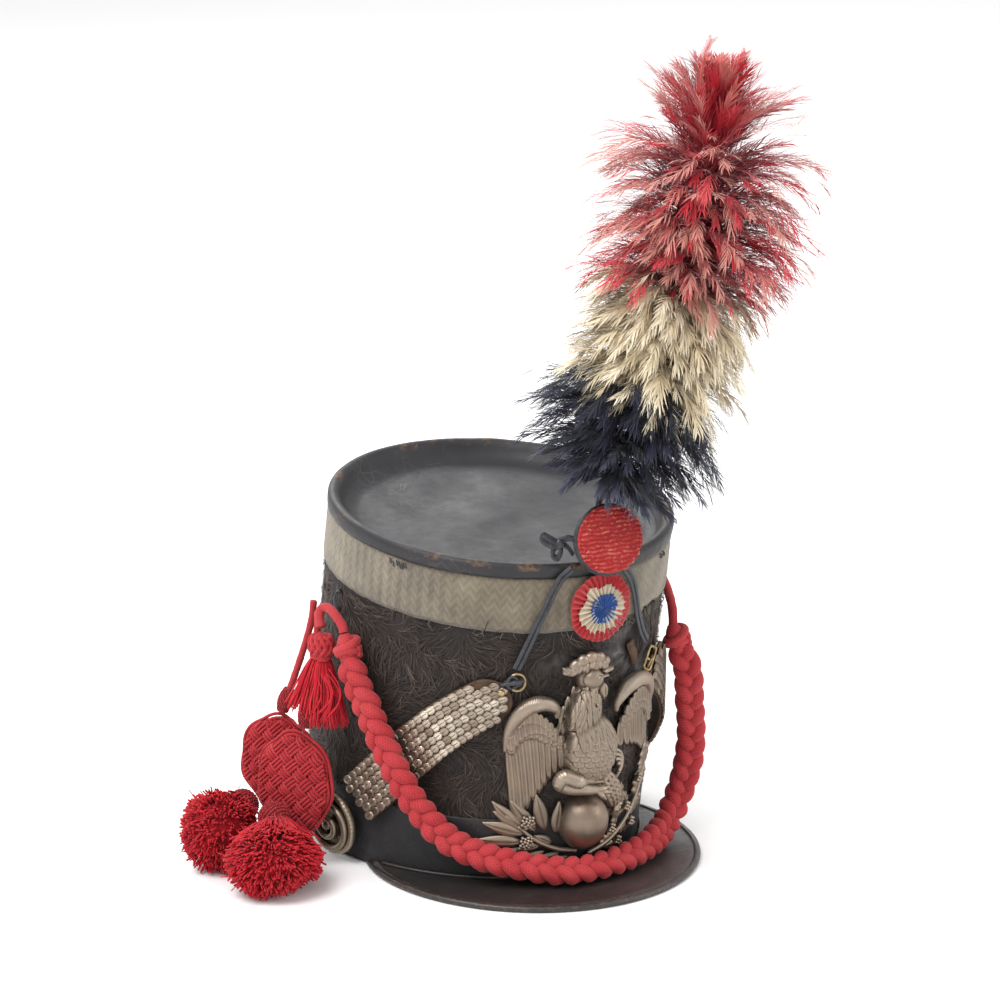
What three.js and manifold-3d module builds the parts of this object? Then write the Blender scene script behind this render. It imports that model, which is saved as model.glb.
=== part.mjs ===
// Shako hat, millimetres, +Z up, the hat's front towards -Y, the wearer's right towards -X.
// The body is an oval wall that is taller behind than in front and leans forwards over a flat base rim.
import * as THREE from "three";
import { mergeVertices } from "three/addons/utils/BufferGeometryUtils.js";
import Module from "manifold-3d";

const wasm = await Module();
wasm.setup();
const { Manifold, Mesh: MMesh, CrossSection } = wasm;

// ---- named sizes -------------------------------------------------------------------------------
const CROWN_H = 194;        // height of the body on its own axis
const TOP_SLOPE = 0.11;     // the top falls towards the front by this much per mm of depth
const LEAN = 33;            // the top oval sits this far forward of the base oval
const BASE = [104, 85];     // half length and half width of the base oval, outside
const TOP = [93, 89];       // the same at the top
const WALL = 3;             // body wall: plush on felt and leather
const GALON_Z = [156.5, 187.2];
const BAND_Z = [1.0, 40];
const SKIN = 1.2;           // thickness of lace and leather skins
const GAP = 0.3;            // clearance between neighbouring pieces
const VISOR = { cy: -60, a: 95.5, b: 91, back: -18, thick: 2.8, inset: 3.7, bead: 1.65 };
const SHIFT = [0, 37.4, 0];   // moves the base centre so that the object's box is centred on the origin
const SEG = 40;
const rad = Math.PI / 180;

// ---- the body surface --------------------------------------------------------------------------
// th: angle from the front towards +X (radians); zc: height on the axis; off: distance outside the wall
function body(th, zc, off, f = 1, dz = 0) {
  const t = zc / CROWN_H;
  const a = BASE[0] + (TOP[0] - BASE[0]) * t + off, b = BASE[1] + (TOP[1] - BASE[1]) * t + off;
  const x = f * b * Math.sin(th), y = -LEAN * t - f * a * Math.cos(th);
  return new THREE.Vector3(x, y, zc + dz + TOP_SLOPE * Math.min(1, t / 0.8) * y);
}

// ---- mesh helpers ------------------------------------------------------------------------------
function fromArrays(pos, idx) {
  const g = new THREE.BufferGeometry();
  g.setAttribute("position", new THREE.Float32BufferAttribute(pos, 3));
  g.setIndex(idx);
  return mergeVertices(g, 1e-4);
}
function volume(g) {
  const p = g.attributes.position, ix = g.index.array; let v = 0;
  const a = new THREE.Vector3(), b = new THREE.Vector3(), c = new THREE.Vector3();
  for (let i = 0; i < ix.length; i += 3) {
    a.fromBufferAttribute(p, ix[i]); b.fromBufferAttribute(p, ix[i + 1]); c.fromBufferAttribute(p, ix[i + 2]);
    v += a.dot(b.cross(c));
  }
  return v / 6;
}
function outward(g) {
  if (volume(g) < 0) {
    const ix = g.index.array;
    for (let i = 0; i < ix.length; i += 3) { const k = ix[i]; ix[i] = ix[i + 1]; ix[i + 1] = k; }
  }
  return g;
}
// rings: list of closed rings with equal counts; capped at both ends, or joined end to end
function loft(rings, closed = false) {
  const n = rings[0].length, pos = [], idx = [];
  for (const r of rings) for (const p of r) pos.push(p.x, p.y, p.z);
  const R = rings.length;
  for (let i = 0; i < (closed ? R : R - 1); i++) {
    const i2 = (i + 1) % R;
    for (let j = 0; j < n; j++) {
      const j2 = (j + 1) % n;
      const a = i * n + j, b = i * n + j2, c = i2 * n + j2, d = i2 * n + j;
      idx.push(a, b, c, a, c, d);
    }
  }
  if (!closed) {
    for (const [row, flip] of [[0, true], [R - 1, false]]) {
      const c = new THREE.Vector3(); rings[row].forEach((p) => c.add(p)); c.multiplyScalar(1 / n);
      const k = pos.length / 3; pos.push(c.x, c.y, c.z);
      for (let j = 0; j < n; j++) {
        const a = row * n + j, b = row * n + ((j + 1) % n);
        if (flip) idx.push(k, b, a); else idx.push(k, a, b);
      }
    }
  }
  return outward(fromArrays(pos, idx));
}
// a closed profile [zc, off] carried once round the oval
function hoop(profile, seg = SEG) {
  return loft(profile.map(([zc, off, f = 1, dz = 0]) =>
    Array.from({ length: seg }, (_, j) => body((j / seg) * 2 * Math.PI, zc, off, f, dz))), true);
}
// a tube along points; size(u) gives [half width, half height]; side(u, tangent) the width direction
function sweep(pts, size, n = 8, steps = 40, side = null) {
  const curve = pts instanceof THREE.Curve ? pts : new THREE.CatmullRomCurve3(pts, false, "centripetal");
  const rings = []; let prev = null;
  for (let i = 0; i <= steps; i++) {
    const u = i / steps, c = curve.getPointAt(u), t = curve.getTangentAt(u).normalize();
    let s = side ? side(u, t, c).clone() : (prev ? prev.clone() : new THREE.Vector3(0, 0, 1).cross(t).lengthSq() > 0.01 ? new THREE.Vector3(0, 0, 1).cross(t) : new THREE.Vector3(1, 0, 0));
    s.addScaledVector(t, -s.dot(t)).normalize(); prev = s;
    const w = new THREE.Vector3().crossVectors(t, s), [ra, rb] = size(u);
    rings.push(Array.from({ length: n }, (_, j) => {
      const q = (j / n) * 2 * Math.PI;
      return c.clone().addScaledVector(s, ra * Math.cos(q)).addScaledVector(w, rb * Math.sin(q));
    }));
  }
  return loft(rings);
}
const V = (x, y, z) => new THREE.Vector3(x, y, z);
// turns a lathe round +Z so that its axis points along `axis`, then moves it to `at`; roll turns it on its axis
function place(g, at, axis, xdir = null) {
  const z = axis.clone().normalize(), x = (xdir ?? (Math.abs(z.z) > 0.9 ? V(1, 0, 0) : V(0, 0, 1))).clone();
  x.addScaledVector(z, -x.dot(z)).normalize();
  const y = new THREE.Vector3().crossVectors(z, x);
  g.applyMatrix4(new THREE.Matrix4().makeBasis(x, y, z).setPosition(at));
  return g;
}
// a disc-like form from [radius, height] pairs, closed on its axis at both ends, with a squash and a lobed edge
function turned(profile, seg = 24, sx = 1, sy = 1, lobe = 0, count = 0) {
  return loft(profile.map(([r, z]) => Array.from({ length: seg }, (_, j) => {
    const q = (j / seg) * 2 * Math.PI, k = r * (1 + lobe * Math.cos(count * q));
    return V(k * sx * Math.cos(q), k * sy * Math.sin(q), z);
  })));
}
const ball = (r, seg = 12, rows = 6, sx = 1, sy = 1, sz = 1, lobe = 0, count = 0) =>
  turned(Array.from({ length: rows + 1 }, (_, i) => { const q = (0.08 + 0.84 * i / rows) * Math.PI; return [r * Math.sin(q), -r * sz * Math.cos(q)]; }), seg, sx, sy, lobe, count);

function toManifold(g) {
  const h = g.clone(); h.deleteAttribute("normal"); h.deleteAttribute("uv");
  const m = mergeVertices(h, 1e-4);
  return new Manifold(new MMesh({ numProp: 3, vertProperties: new Float32Array(m.attributes.position.array), triVerts: new Uint32Array(m.index.array) }));
}
function fromManifold(m) {
  const q = m.getMesh();
  const pos = []; for (let i = 0; i < q.vertProperties.length; i += q.numProp) pos.push(q.vertProperties[i], q.vertProperties[i + 1], q.vertProperties[i + 2]);
  return fromArrays(pos, Array.from(q.triVerts));
}

const group = new THREE.Group();
group.name = "shako";
const colours = { fur: 0x3a2a22, leather: 0x1e1d1f, lace: 0xa08d6a, metal: 0x9b8b78, brass: 0xb08a4a, red: 0xb01a24, brown: 0x5b4130, cream: 0xe8dcc0, blue: 0x24407a, navy: 0x1b1d2c, crimson: 0xa02636 };
function add(name, g, colour) {
  g.translate(...SHIFT);
  const m = new THREE.Mesh(g, new THREE.MeshStandardMaterial({ color: colours[colour], side: THREE.FrontSide }));
  m.name = name; g.computeVertexNormals(); group.add(m);
}

// ---- body, top, bands --------------------------------------------------------------------------
add("crown_shell", hoop([[0, -WALL], [0, 0], [BAND_Z[1], 0], [100, 0], [0.8 * CROWN_H, 0], [CROWN_H - 2, 0], [CROWN_H - 2, -WALL], [0.8 * CROWN_H, -WALL], [100, -WALL]]), "fur");
{
  const H = CROWN_H, rows = [
    [H, 0, 0.02, -11.8], [H, 0, 0.45, -11.4], [H, 0, 0.78, -10.4], [H, 0, 0.9, -7.6], [H - 2.6, -5.2, 1, 0], [H + 0.2, -3.4, 1, 0], [H + 1.1, -1.0, 1, 0], [H + 0.2, 1.2, 1, 0], [H - 1.6, 2.0, 1, 0], [H - 6.5, 2.0, 1, 0],
    [H - 6.5, 0.3, 1, 0], [H - 1.7, 0.3, 1, 0], [H - 1.7, -3.3, 1, 0], [H - 5.6, -6.0, 1, 0], [H, -1.2, 0.9, -11.4], [H, 0, 0.78, -13.2], [H, 0, 0.45, -14.0], [H, 0, 0.02, -14.4]];
  add("crown_top", loft(rows.map(([zc, off, f, dz]) => Array.from({ length: SEG }, (_, j) => body((j / SEG) * 2 * Math.PI, zc, off, f, dz)))), "leather");
}
add("galon_band", hoop([[GALON_Z[0], GAP], [GALON_Z[0], GAP + SKIN], [GALON_Z[1], GAP + SKIN], [GALON_Z[1], GAP]]), "lace");
add("lower_band", hoop([[BAND_Z[0], GAP], [BAND_Z[0], GAP + SKIN], [BAND_Z[1], GAP + SKIN], [BAND_Z[1], GAP]]), "leather");

// ---- visor -------------------------------------------------------------------------------------
{
  const poly = (a, b, cy, n) => Array.from({ length: n }, (_, j) => [b * Math.sin((j / n) * 2 * Math.PI), cy - a * Math.cos((j / n) * 2 * Math.PI)]);
  const outer = new CrossSection([poly(VISOR.a - VISOR.inset, VISOR.b - VISOR.inset, VISOR.cy, 60)]);
  const inner = new CrossSection([poly(BASE[0] + 2.3, BASE[1] + 2.3, 0, 60)]);
  const back = new CrossSection([[[-150, VISOR.back], [150, VISOR.back], [150, 150], [-150, 150]]]);
  let c = outer.subtract(inner).subtract(back);
  add("visor", outward(fromManifold(Manifold.extrude(c, VISOR.thick))), "leather");
  const end = Math.acos((VISOR.cy + 31) / (VISOR.a - VISOR.bead));
  const arc = Array.from({ length: 49 }, (_, i) => {
    const q = -end + (2 * end * i) / 48;
    return V((VISOR.b - VISOR.bead) * Math.sin(q), VISOR.cy - (VISOR.a - VISOR.bead) * Math.cos(q), VISOR.bead);
  });
  add("visor_binding", sweep(arc, () => [VISOR.bead, VISOR.bead], 6, 36), "leather");
  const welt = Array.from({ length: 33 }, (_, i) => { const p = body((-68 + 4.25 * i) * rad, 0, 3.4); p.z = VISOR.thick + 1.3; return p; });
  add("visor_welt", sweep(welt, () => [1.0, 1.0], 6, 26), "leather");
}

// ---- pompon, cockade, plume --------------------------------------------------------------------
const POMPON = V(-3.5, -136.5, 194.5), POMPON_N = V(-0.22, -0.96, 0.14).normalize();
add("pompon_disc", place(turned([[17.2, 0], [18.4, 1.6], [18.4, 4.2], [17.0, 6.6], [12.5, 8.8], [6.5, 10], [1.2, 10.4]], 20), POMPON.clone().addScaledVector(POMPON_N, -5), POMPON_N), "red");
add("pompon_backing", place(turned([[3, 0], [18.2, 0], [18.2, 1.2], [3, 1.2]], 20), POMPON.clone().addScaledVector(POMPON_N, -6.6), POMPON_N), "leather");
{
  const c = POMPON.clone().add(V(-23.5, 12.5, -1.5));
  const knot = toManifold(place(ball(3.0, 10, 5), c, V(0, 0, 1)));
  const loop1 = toManifold(place(ball(5.0, 10, 5, 0.5, 1, 0.45), c.clone().add(V(-3.2, 3.2, 4.0)), V(0.6, 0.6, 0.3)));
  const loop2 = toManifold(place(ball(4.6, 10, 5, 0.5, 1, 0.45), c.clone().add(V(-3.6, 2.2, -2.2)), V(0.5, -0.3, 0.8)));
  add("pompon_bow", outward(fromManifold(knot.add(loop1).add(loop2))), "leather");
}
const PLUME = new THREE.CatmullRomCurve3([V(-3, -122.6, 183), V(-2.6, -123, 196), V(-1.5, -124.5, 212), V(4.5, -129.5, 232), V(17, -134, 262), V(33, -137, 305), V(47, -139, 350), V(57, -139, 395), V(61, -138, 428)], false, "centripetal");
const plumeLen = PLUME.getLength();
function plumePart(from, to, profile) {
  const rings = [], n = 18;
  const side = V(0.82, -0.57, 0);
  profile.forEach(([k, rx, ry], i) => {
    const u = from + (to - from) * k, c = PLUME.getPointAt(u), t = PLUME.getTangentAt(u);
    // end rings stay square to the axis so neighbours keep a parallel gap
    const s = side.clone().addScaledVector(t, -side.dot(t)).normalize(), w = new THREE.Vector3().crossVectors(t, s);
    rings.push(Array.from({ length: n }, (_, j) => {
      const q = (j / n) * 2 * Math.PI, lump = 1 + 0.07 * Math.cos(3 * q + 1.9 * i) + 0.05 * Math.cos(5 * q - 2.3 * i);
      return c.clone().addScaledVector(s, rx * lump * Math.cos(q)).addScaledVector(w, ry * lump * Math.sin(q));
    }));
  });
  return loft(rings);
}
add("plume_stem", sweep(Array.from({ length: 7 }, (_, i) => PLUME.getPointAt(0.123 * i / 6)), () => [1.7, 1.7], 8, 8), "leather");
const PB = 0.262, PC = 0.47;
add("plume_navy", plumePart(0.126, PB, [[0, 6, 6], [0.16, 17, 14], [0.45, 38, 28], [0.8, 42, 31], [1, 36, 28]]), "navy");
add("plume_cream", plumePart(PB + 0.0016, PC, [[0, 35, 27], [0.3, 43, 32], [0.7, 43, 32], [1, 38, 30]]), "cream");
add("plume_crimson", plumePart(PC + 0.0016, 1, [[0, 38, 30], [0.15, 46, 34], [0.4, 49, 35], [0.65, 41, 30], [0.85, 27, 20], [0.96, 13, 10], [1, 4, 4]]), "crimson");
{
  const c = body(-1.3 * rad, 169.4, 2.9);
  add("cockade", place(turned([[18.6, 0], [19.6, 0.8], [19.2, 2.6], [13, 3.6], [1, 5.4]], 24, 1, 1, 0.02, 12), c, V(-0.02, -0.992, -0.126)), "red");
}

// ---- rooster plate -----------------------------------------------------------------------------
// drawn flat in u (along the wall, towards +X), v (height) and w (outwards), then bent round the front
{
  const ext = (pts, h, w0 = 0) => Manifold.extrude(new CrossSection([pts], "NonZero"), h).translate([0, 0, w0]);
  const blob = (u, v, w, a, b, c, rot = 0) => Manifold.sphere(1, 14).scale([a, b, c]).rotate([0, 0, rot]).translate([u, v, w]);
  const leaf = (u, v, len, wid, ang, h = 2.2) => ext([[0, 0], [len * 0.3, wid * 0.42], [len * 0.65, wid * 0.5], [len, 0], [len * 0.65, -wid * 0.5], [len * 0.3, -wid * 0.42]], h).rotate([0, 0, ang]).translate([u, v, 0]);
  let m = ext([[-16, 108], [-22, 113], [-34, 116], [-42, 110], [-49, 97], [-50, 84], [-47, 66], [-42, 52], [-37, 42], [-33, 50], [-26, 57], [-20, 63], [-12, 70], [-8, 84], [-20, 92], [-25, 101], [-22, 107]], 3.4);
  m = m.add(ext([[11, 84], [16, 98], [20, 109], [30, 116], [41, 113], [50, 102], [55, 88], [55, 74], [52, 60], [48, 64], [42, 70], [33, 76], [22, 78], [12, 74]], 3.4));
  m = m.add(blob(-3, 82, 3, 17, 24, 15));
  m = m.add(blob(-9, 106, 3, 10, 18, 10, -8));
  m = m.add(blob(-6, 128, 3, 8, 10, 7));
  m = m.add(ext([[-20, 131], [-14, 138], [-8, 142], [0, 140], [4, 133], [9, 133], [2, 127], [-2, 121], [-12, 124]], 5));
  m = m.add(ext([[-8, 122], [-1, 122], [1, 115], [-3, 109], [-8, 114]], 7));
  m = m.add(blob(-3, 36.5, 3.6, 14.5, 17.5, 14.5));
  m = m.add(blob(-13, 60, 4, 9.5, 5.5, 10, -14)).add(blob(13, 52, 3, 5.5, 13, 7, 14));
  m = m.add(ext([[15, 44], [20, 44], [27, 32], [22, 28]], 4));
  m = m.add(ext([[14, 70], [24, 70], [27, 62], [22, 54], [14, 52]], 2.6));
  // laurel and oak
  m = m.add(ext([[-6, 20], [-30, 28], [-44, 38], [-46, 33], [-32, 20], [-10, 12]], 3.2)).add(ext([[2, 14], [20, 20], [36, 30], [48, 44], [56, 62], [60, 60], [54, 40], [40, 22], [22, 10], [4, 8]], 3.2));
  for (const [u, v, l, w, a] of [[-30, 32, 27, 8, 128], [-34, 32, 25, 8, 148], [-36, 30, 26, 8, 164], [-36, 27, 26, 8, 178], [-34, 24, 26, 7, 194], [-26, 32, 27, 8, 110], [-20, 30, 22, 7, 92], [-24, 22, 26, 7, 204], [-14, 18, 22, 6, 196]]) m = m.add(leaf(u, v, l, w, a));
  for (const [u, v, l, w, a] of [[24, 26, 26, 9, 74], [34, 34, 24, 9, 96], [44, 42, 22, 9, 62], [52, 52, 22, 8, 86], [30, 20, 20, 7, 16], [42, 28, 18, 7, 30]]) m = m.add(leaf(u, v, l, w, a));
  m = m.refineToLength(16);
  m = m.warp((p) => {
    const th = p[0] / 98, q = body(th, p[1], 0.9 + Math.max(0, p[2]));
    p[0] = q.x; p[1] = q.y; p[2] = q.z;
  });
  // clear of the bands that it crosses
  const cut = toManifold(hoop([[0, -6], [0, GAP + SKIN + 0.3], [BAND_Z[1] + 0.3, GAP + SKIN + 0.3], [BAND_Z[1] + 0.3, -6]]));
  m = m.subtract(cut).simplify(0.02);
  const bits = m.decompose().sort((a, b) => b.volume() - a.volume());
  add("rooster_plate", outward(fromManifold(bits[0])), "metal");
}

// ---- chin scales -------------------------------------------------------------------------------
// side = -1 is the wearer's right; lift is how far the strap stands off the body along its run
const STRAP_W = 27, LEFT_RUN = [[-30.5, 121], [-38, 113], [-47, 101], [-56, 85.5], [-65, 67], [-73, 50], [-79, 38]];
function strapRun(side) {
  return LEFT_RUN.map(([d, z]) => [(side < 0 ? d : -d) * rad, z]);
}
function strip(side, inner, outer, w, lift, u0 = 0, u1 = 1, steps = 16) {
  const run = strapRun(side), lead = new THREE.CatmullRomCurve3(run.map(([th, z]) => V(th * 95, z, 0)), false, "centripetal");
  const rings = [];
  for (let i = 0; i <= steps; i++) {
    const u = u0 + (u1 - u0) * (i / steps), p = lead.getPointAt(u), t = lead.getTangentAt(u);
    const nx = -t.y, ny = t.x, e = lift(u);
    // round upper end
    const s = u < 0.12 ? Math.sqrt(Math.max(0.02, 1 - ((0.12 - u) / 0.125) ** 2)) : 1;
    const hw = (w / 2) * s, ring = [];
    for (const [k, o] of [[-1, inner], [-0.33, inner], [0.33, inner], [1, inner], [1, outer - 0.4], [0.33, outer], [-0.33, outer], [-1, outer - 0.4]])
      ring.push(body((p.x + nx * hw * k) / 95, p.y + ny * hw * k, e + o));
    rings.push(ring);
  }
  return loft(rings);
}
const flatLift = (u) => 1.9 + 2.2 * THREE.MathUtils.smoothstep(u, 0.6, 1);
const loose = (u) => 2.4 + 4.2 * THREE.MathUtils.smoothstep(u, 0.15, 0.6) * (1 - 0.6 * THREE.MathUtils.smoothstep(u, 0.75, 1));
for (const [side, tag, lift] of [[-1, "R", flatLift], [1, "L", loose]]) {
  add(`chin_strap_${tag}`, strip(side, 0, 1.5, STRAP_W + 1.5, lift), "brown");
  add(`chin_scales_${tag}`, strip(side, 1.9, 3.4, STRAP_W - 0.6, lift, 0.012, 1), "metal");
  const c = V(side * 86.4, -11, 22), n = V(side * 0.985, -0.13, -0.05).normalize();
  const boss = turned([[16, 0], [17.6, 1.0], [17.6, 3.4], [15.6, 4.8], [13, 5.0], [11, 4.6], [5, 7.2], [1, 7.8]], 20);
  add(`boss_${tag}`, place(boss, c.clone().addScaledVector(n, 6.8), n), "metal");
  const back = turned([[6, 0], [8, 0], [8, 4.0], [6, 4.0]], 16);
  add(`boss_seat_${tag}`, place(back, c.clone().addScaledVector(n, 2.4), n), "brown");
}

// ---- rings, buckle, laces ----------------------------------------------------------------------
{
  const c = body(-28.2 * rad, 127, 3.4), n = body(-28.2 * rad, 127, 13).sub(body(-28.2 * rad, 127, 3)).normalize();
  const ring = new THREE.TorusGeometry(4.2, 0.8, 6, 16); ring.deleteAttribute("uv"); ring.deleteAttribute("normal");
  add("chin_ring", outward(place(mergeVertices(ring, 1e-4), c, n)), "brass");
  const r = body(-33 * rad, 121, 6.1);
  add("chin_rivet", place(turned([[0.6, 0], [1.5, 0.1], [1.5, 0.5], [0.8, 1.0]], 12), r, n), "brass");
}
function lace(points, half, twin) {
  // two round laces side by side, tied at both ends
  const a = points.map((p) => p.clone()), up = V(0, 0, 1);
  return sweep(a, (u) => [half * 2, half], 6, 14, (u, t, c) => new THREE.Vector3().crossVectors(t, V(c.x * 1.1, c.y + 20, 0).normalize()));
}
add("lace_R", lace([body(-28.6 * rad, 134.8, 2.8), body(-27.2 * rad, 141, 2.6), body(-24.2 * rad, 156, 3.3), body(-20.5 * rad, 172, 3.7), body(-16.4 * rad, 188, 4.2), body(-13.2 * rad, 194, 5.4)], 1.15), "leather");
add("lace_knot_R", place(ball(2.7, 12, 6, 1.2, 1, 0.8), body(-29.4 * rad, 127.2, 4.4 + 2.4).add(V(-0.4, -0.3, 0.3)), V(-0.4, -0.9, 0)), "leather");
add("lace_L", lace([body(6 * rad, 191, 4.8), body(8.9 * rad, 185.5, 4.6), body(11.6 * rad, 179.5, 4.2), body(14.2 * rad, 169.5, 3.9), body(17 * rad, 157, 3.5), body(20.6 * rad, 145.5, 3.2), body(23 * rad, 138.6, 4.0)], 1.15), "leather");
{
  const at = body(25.4 * rad, 126.5, 5.2), n = body(25 * rad, 126, 14).sub(body(25 * rad, 126, 4)).normalize();
  const outer = Manifold.cube([13, 10, 1.6], true), inner = Manifold.cube([9.6, 6.6, 4], true), tongue = Manifold.cube([1.3, 11, 1.2], true);
  const b = fromManifold(outer.subtract(inner).add(tongue));
  add("chin_buckle", outward(place(b, at, n, V(0.35, 0.2, 0.9))), "brass");
  const tab = body(17.2 * rad, 134, 1.3), tn = body(17.2 * rad, 134, 11).sub(body(17.2 * rad, 134, 1)).normalize();
  const slab = fromManifold(Manifold.cube([15, 6.2, 1.7], true).refine(2));
  add("leather_tab", outward(place(slab, tab.addScaledVector(tn, 0.6), tn, V(-0.15, 0, 1))), "leather");
}

// ---- side loops --------------------------------------------------------------------------------
for (const [s, tag] of [[-1, "R"], [1, "L"]]) {
  const p = (d, z, o) => body(s * d * rad, z, o);
  add(`side_loop_${tag}`, sweep([p(99, 155.6 - 5, 1.6), p(99.6, 149, 2.6), p(97.4, 145, 4.6), p(95.4, 141, 4.6), p(96.6, 136.6, 3.0), p(100, 139, 2.0)], () => [0.9, 0.9], 6, 14), "leather");
}

// ---- cordon: plait, collars, hook cords --------------------------------------------------------
const PLAIT = [[-97.0, -32.8, 121.5], [-96.4, -37.5, 108.8], [-94.9, -44.8, 98.4], [-93.3, -51.8, 86.2], [-91.2, -59.9, 73.6], [-87.3, -67.0, 59.4], [-79.7, -74.5, 42.8], [-68.5, -84.2, 27.7], [-53.1, -97.1, 18.4], [-35.7, -110.8, 13.8],
  [-14, -121.6, 10.2], [14, -121.6, 10.2], [42, -111.0, 10.4], [65, -96, 13], [78, -89.5, 24], [82, -92, 40], [82.5, -94.5, 57.2], [80.5, -95.5, 80.5], [79, -95.5, 97.7], [75, -92.5, 112]].map((p) => V(...p));
const plaitCurve = new THREE.CatmullRomCurve3(PLAIT, false, "centripetal");
add("cordon_plait", sweep(plaitCurve, (u) => { const k = Math.min(1, 0.72 + 4 * u, 0.5 + 5 * (1 - u)); return [6.7 * k, 6.7 * k]; }, 8, 44), "red");
{
  const d = plaitCurve.getTangentAt(0).multiplyScalar(-1);
  add("cordon_collar_R", place(turned([[4.6, 0], [6.9, 1.2], [7.4, 4], [6.4, 7], [3.6, 8.4]], 16), PLAIT[0].clone().addScaledVector(d, 0.6), d), "red");
  const e = plaitCurve.getTangentAt(1);
  add("cordon_collar_L", place(turned([[3.0, 0], [4.6, 1.0], [4.8, 3], [4.0, 4.8], [2.4, 5.4]], 16), PLAIT[PLAIT.length - 1].clone().addScaledVector(e, 0.6), e), "red");
}
const CORD_R = 2.5;
add("hook_cord_R", sweep([PLAIT[0].clone().addScaledVector(plaitCurve.getTangentAt(0), -12), V(-97.2, -27.4, 135.5), V(-97.3, -20.4, 140.2), V(-97.6, -13.6, 142.6), V(-98.6, -9.2, 141.4), V(-100.6, -9.8, 137.6), V(-102.0, -13.2, 132.6)], () => [CORD_R, CORD_R], 8, 16), "red");
add("hook_cord_L", sweep([PLAIT[PLAIT.length - 1].clone().addScaledVector(plaitCurve.getTangentAt(1), 8.8), body(56 * rad, 138, 7), body(66 * rad, 145.5, 5), body(78 * rad, 150.5, 4.6), body(88 * rad, 152, 4.6), body(94 * rad, 150.5, 4.8), body(96 * rad, 148, 4.8)], () => [CORD_R, CORD_R], 8, 16), "red");

// ---- small tassel ------------------------------------------------------------------------------
{
  const top = V(-103.4, -16.2, 130.2), axis = V(-0.04, 0.02, -1).normalize();
  add("small_tassel_head", place(turned([[2.2, -0.2], [5.4, 1.2], [7.2, 4.8], [7.4, 8.4], [6.2, 11.6], [4.6, 12.6]], 16, 1, 1, 0.03, 6), top, axis), "red");
  add("small_tassel_skirt", place(turned([[4.4, 12.9], [7.6, 16], [10.2, 22], [13.2, 31], [16.0, 40], [17.4, 46], [15.0, 50.5], [4, 51.5]], 16, 1, 0.5, 0.05, 5), top.clone().add(V(-2.2, -3.3, 0)), axis, V(0.8, -0.55, 0)), "red");
}

// ---- raquettes, necks, knots and fringes -------------------------------------------------------
const RAQ_N = V(-0.9, -0.42, 0.1).normalize();
const raq = (rx, ry) => turned([[0.6, -5.2], [0.62, -5.0], [0.82, -4.0], [0.97, -1.8], [1.0, 0], [0.96, 2.4], [0.8, 5.0], [0.5, 6.8], [0.06, 7.6]].map(([r, z]) => [r * rx, z]), 18, ry / rx, 1, 0.03, 9);
const FRONT = V(-111.6, -1.4, 44.5), REAR = V(-105.4, 25.5, 47.3);
add("raquette_front", place(raq(24.5, 28.5), FRONT, RAQ_N, V(0.1, 0, 1)), "red");
add("raquette_rear", place(raq(23.5, 27), REAR, V(-0.86, -0.5, 0.05).normalize(), V(-0.1, 0, 1)), "red");
add("raquette_neck_front", sweep([V(-105.9, -2.4, 75.0), V(-105.4, -2.2, 80.5), V(-104.9, -2.0, 87)], (u) => [4.4 - 1.6 * u, 4.2 - 1.6 * u], 10, 6), "red");
add("raquette_neck_rear", sweep([V(-103.5, 24.2, 76.6), V(-102.6, 22.5, 82.5), V(-101.2, 20.5, 88.5)], (u) => [4.2 - 1.5 * u, 4.0 - 1.5 * u], 10, 6), "red");
add("raquette_cord_front", sweep([V(-104.9, -2.0, 88.6), V(-102.4, -1.4, 98), V(-99.2, -0.8, 109), V(-96.6, -0.2, 121.5), V(-95.2, 0.6, 136.5)], () => [CORD_R, CORD_R], 6, 12), "red");
add("raquette_cord_rear", sweep([V(-100.8, 19.9, 90.2), V(-98.4, 16.4, 102), V(-95.4, 13, 116), V(-93.4, 10.2, 128), V(-92.8, 8.2, 140)], () => [CORD_R, CORD_R], 6, 12), "red");
const fringe = (rx, ry, rz, ph) => {
  const rows = 7, n = 14;
  return loft(Array.from({ length: rows + 1 }, (_, i) => {
    const q = (0.06 + 0.88 * i / rows) * Math.PI;
    return Array.from({ length: n }, (_, j) => {
      const a = (j / n) * 2 * Math.PI, k = Math.sin(q) * (1 + 0.06 * Math.cos(4 * a + ph + i) + 0.04 * Math.cos(7 * a - 2 * i));
      return V(rx * k * Math.cos(a), ry * k * Math.sin(a), -rz * Math.cos(q));
    });
  }));
};
add("tassel_knot_front", place(ball(9.2, 14, 7, 1, 1, 0.95, 0.04, 6), V(-129.5, -8.5, 30), V(0, 0, 1)), "red");
add("tassel_knot_rear", place(ball(9.2, 14, 7, 1, 1, 0.95, 0.04, 6), V(-125.5, 31, 24.5), V(0, 0, 1)), "red");
add("tassel_fringe_front", fringe(26, 22, 16.8, 0.4).translate(-146.5, -35.3, 16.8), "red");
add("tassel_fringe_rear", fringe(20, 20.5, 21.0, 2.1).translate(-152.3, 12.4, 21.0), "red");

export default group;
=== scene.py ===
# Shako hat: the look of each piece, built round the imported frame. Lengths here are millimetres until new() turns them into metres.
import math
import bpy
import numpy as np
from mathutils import Vector, Matrix


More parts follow.
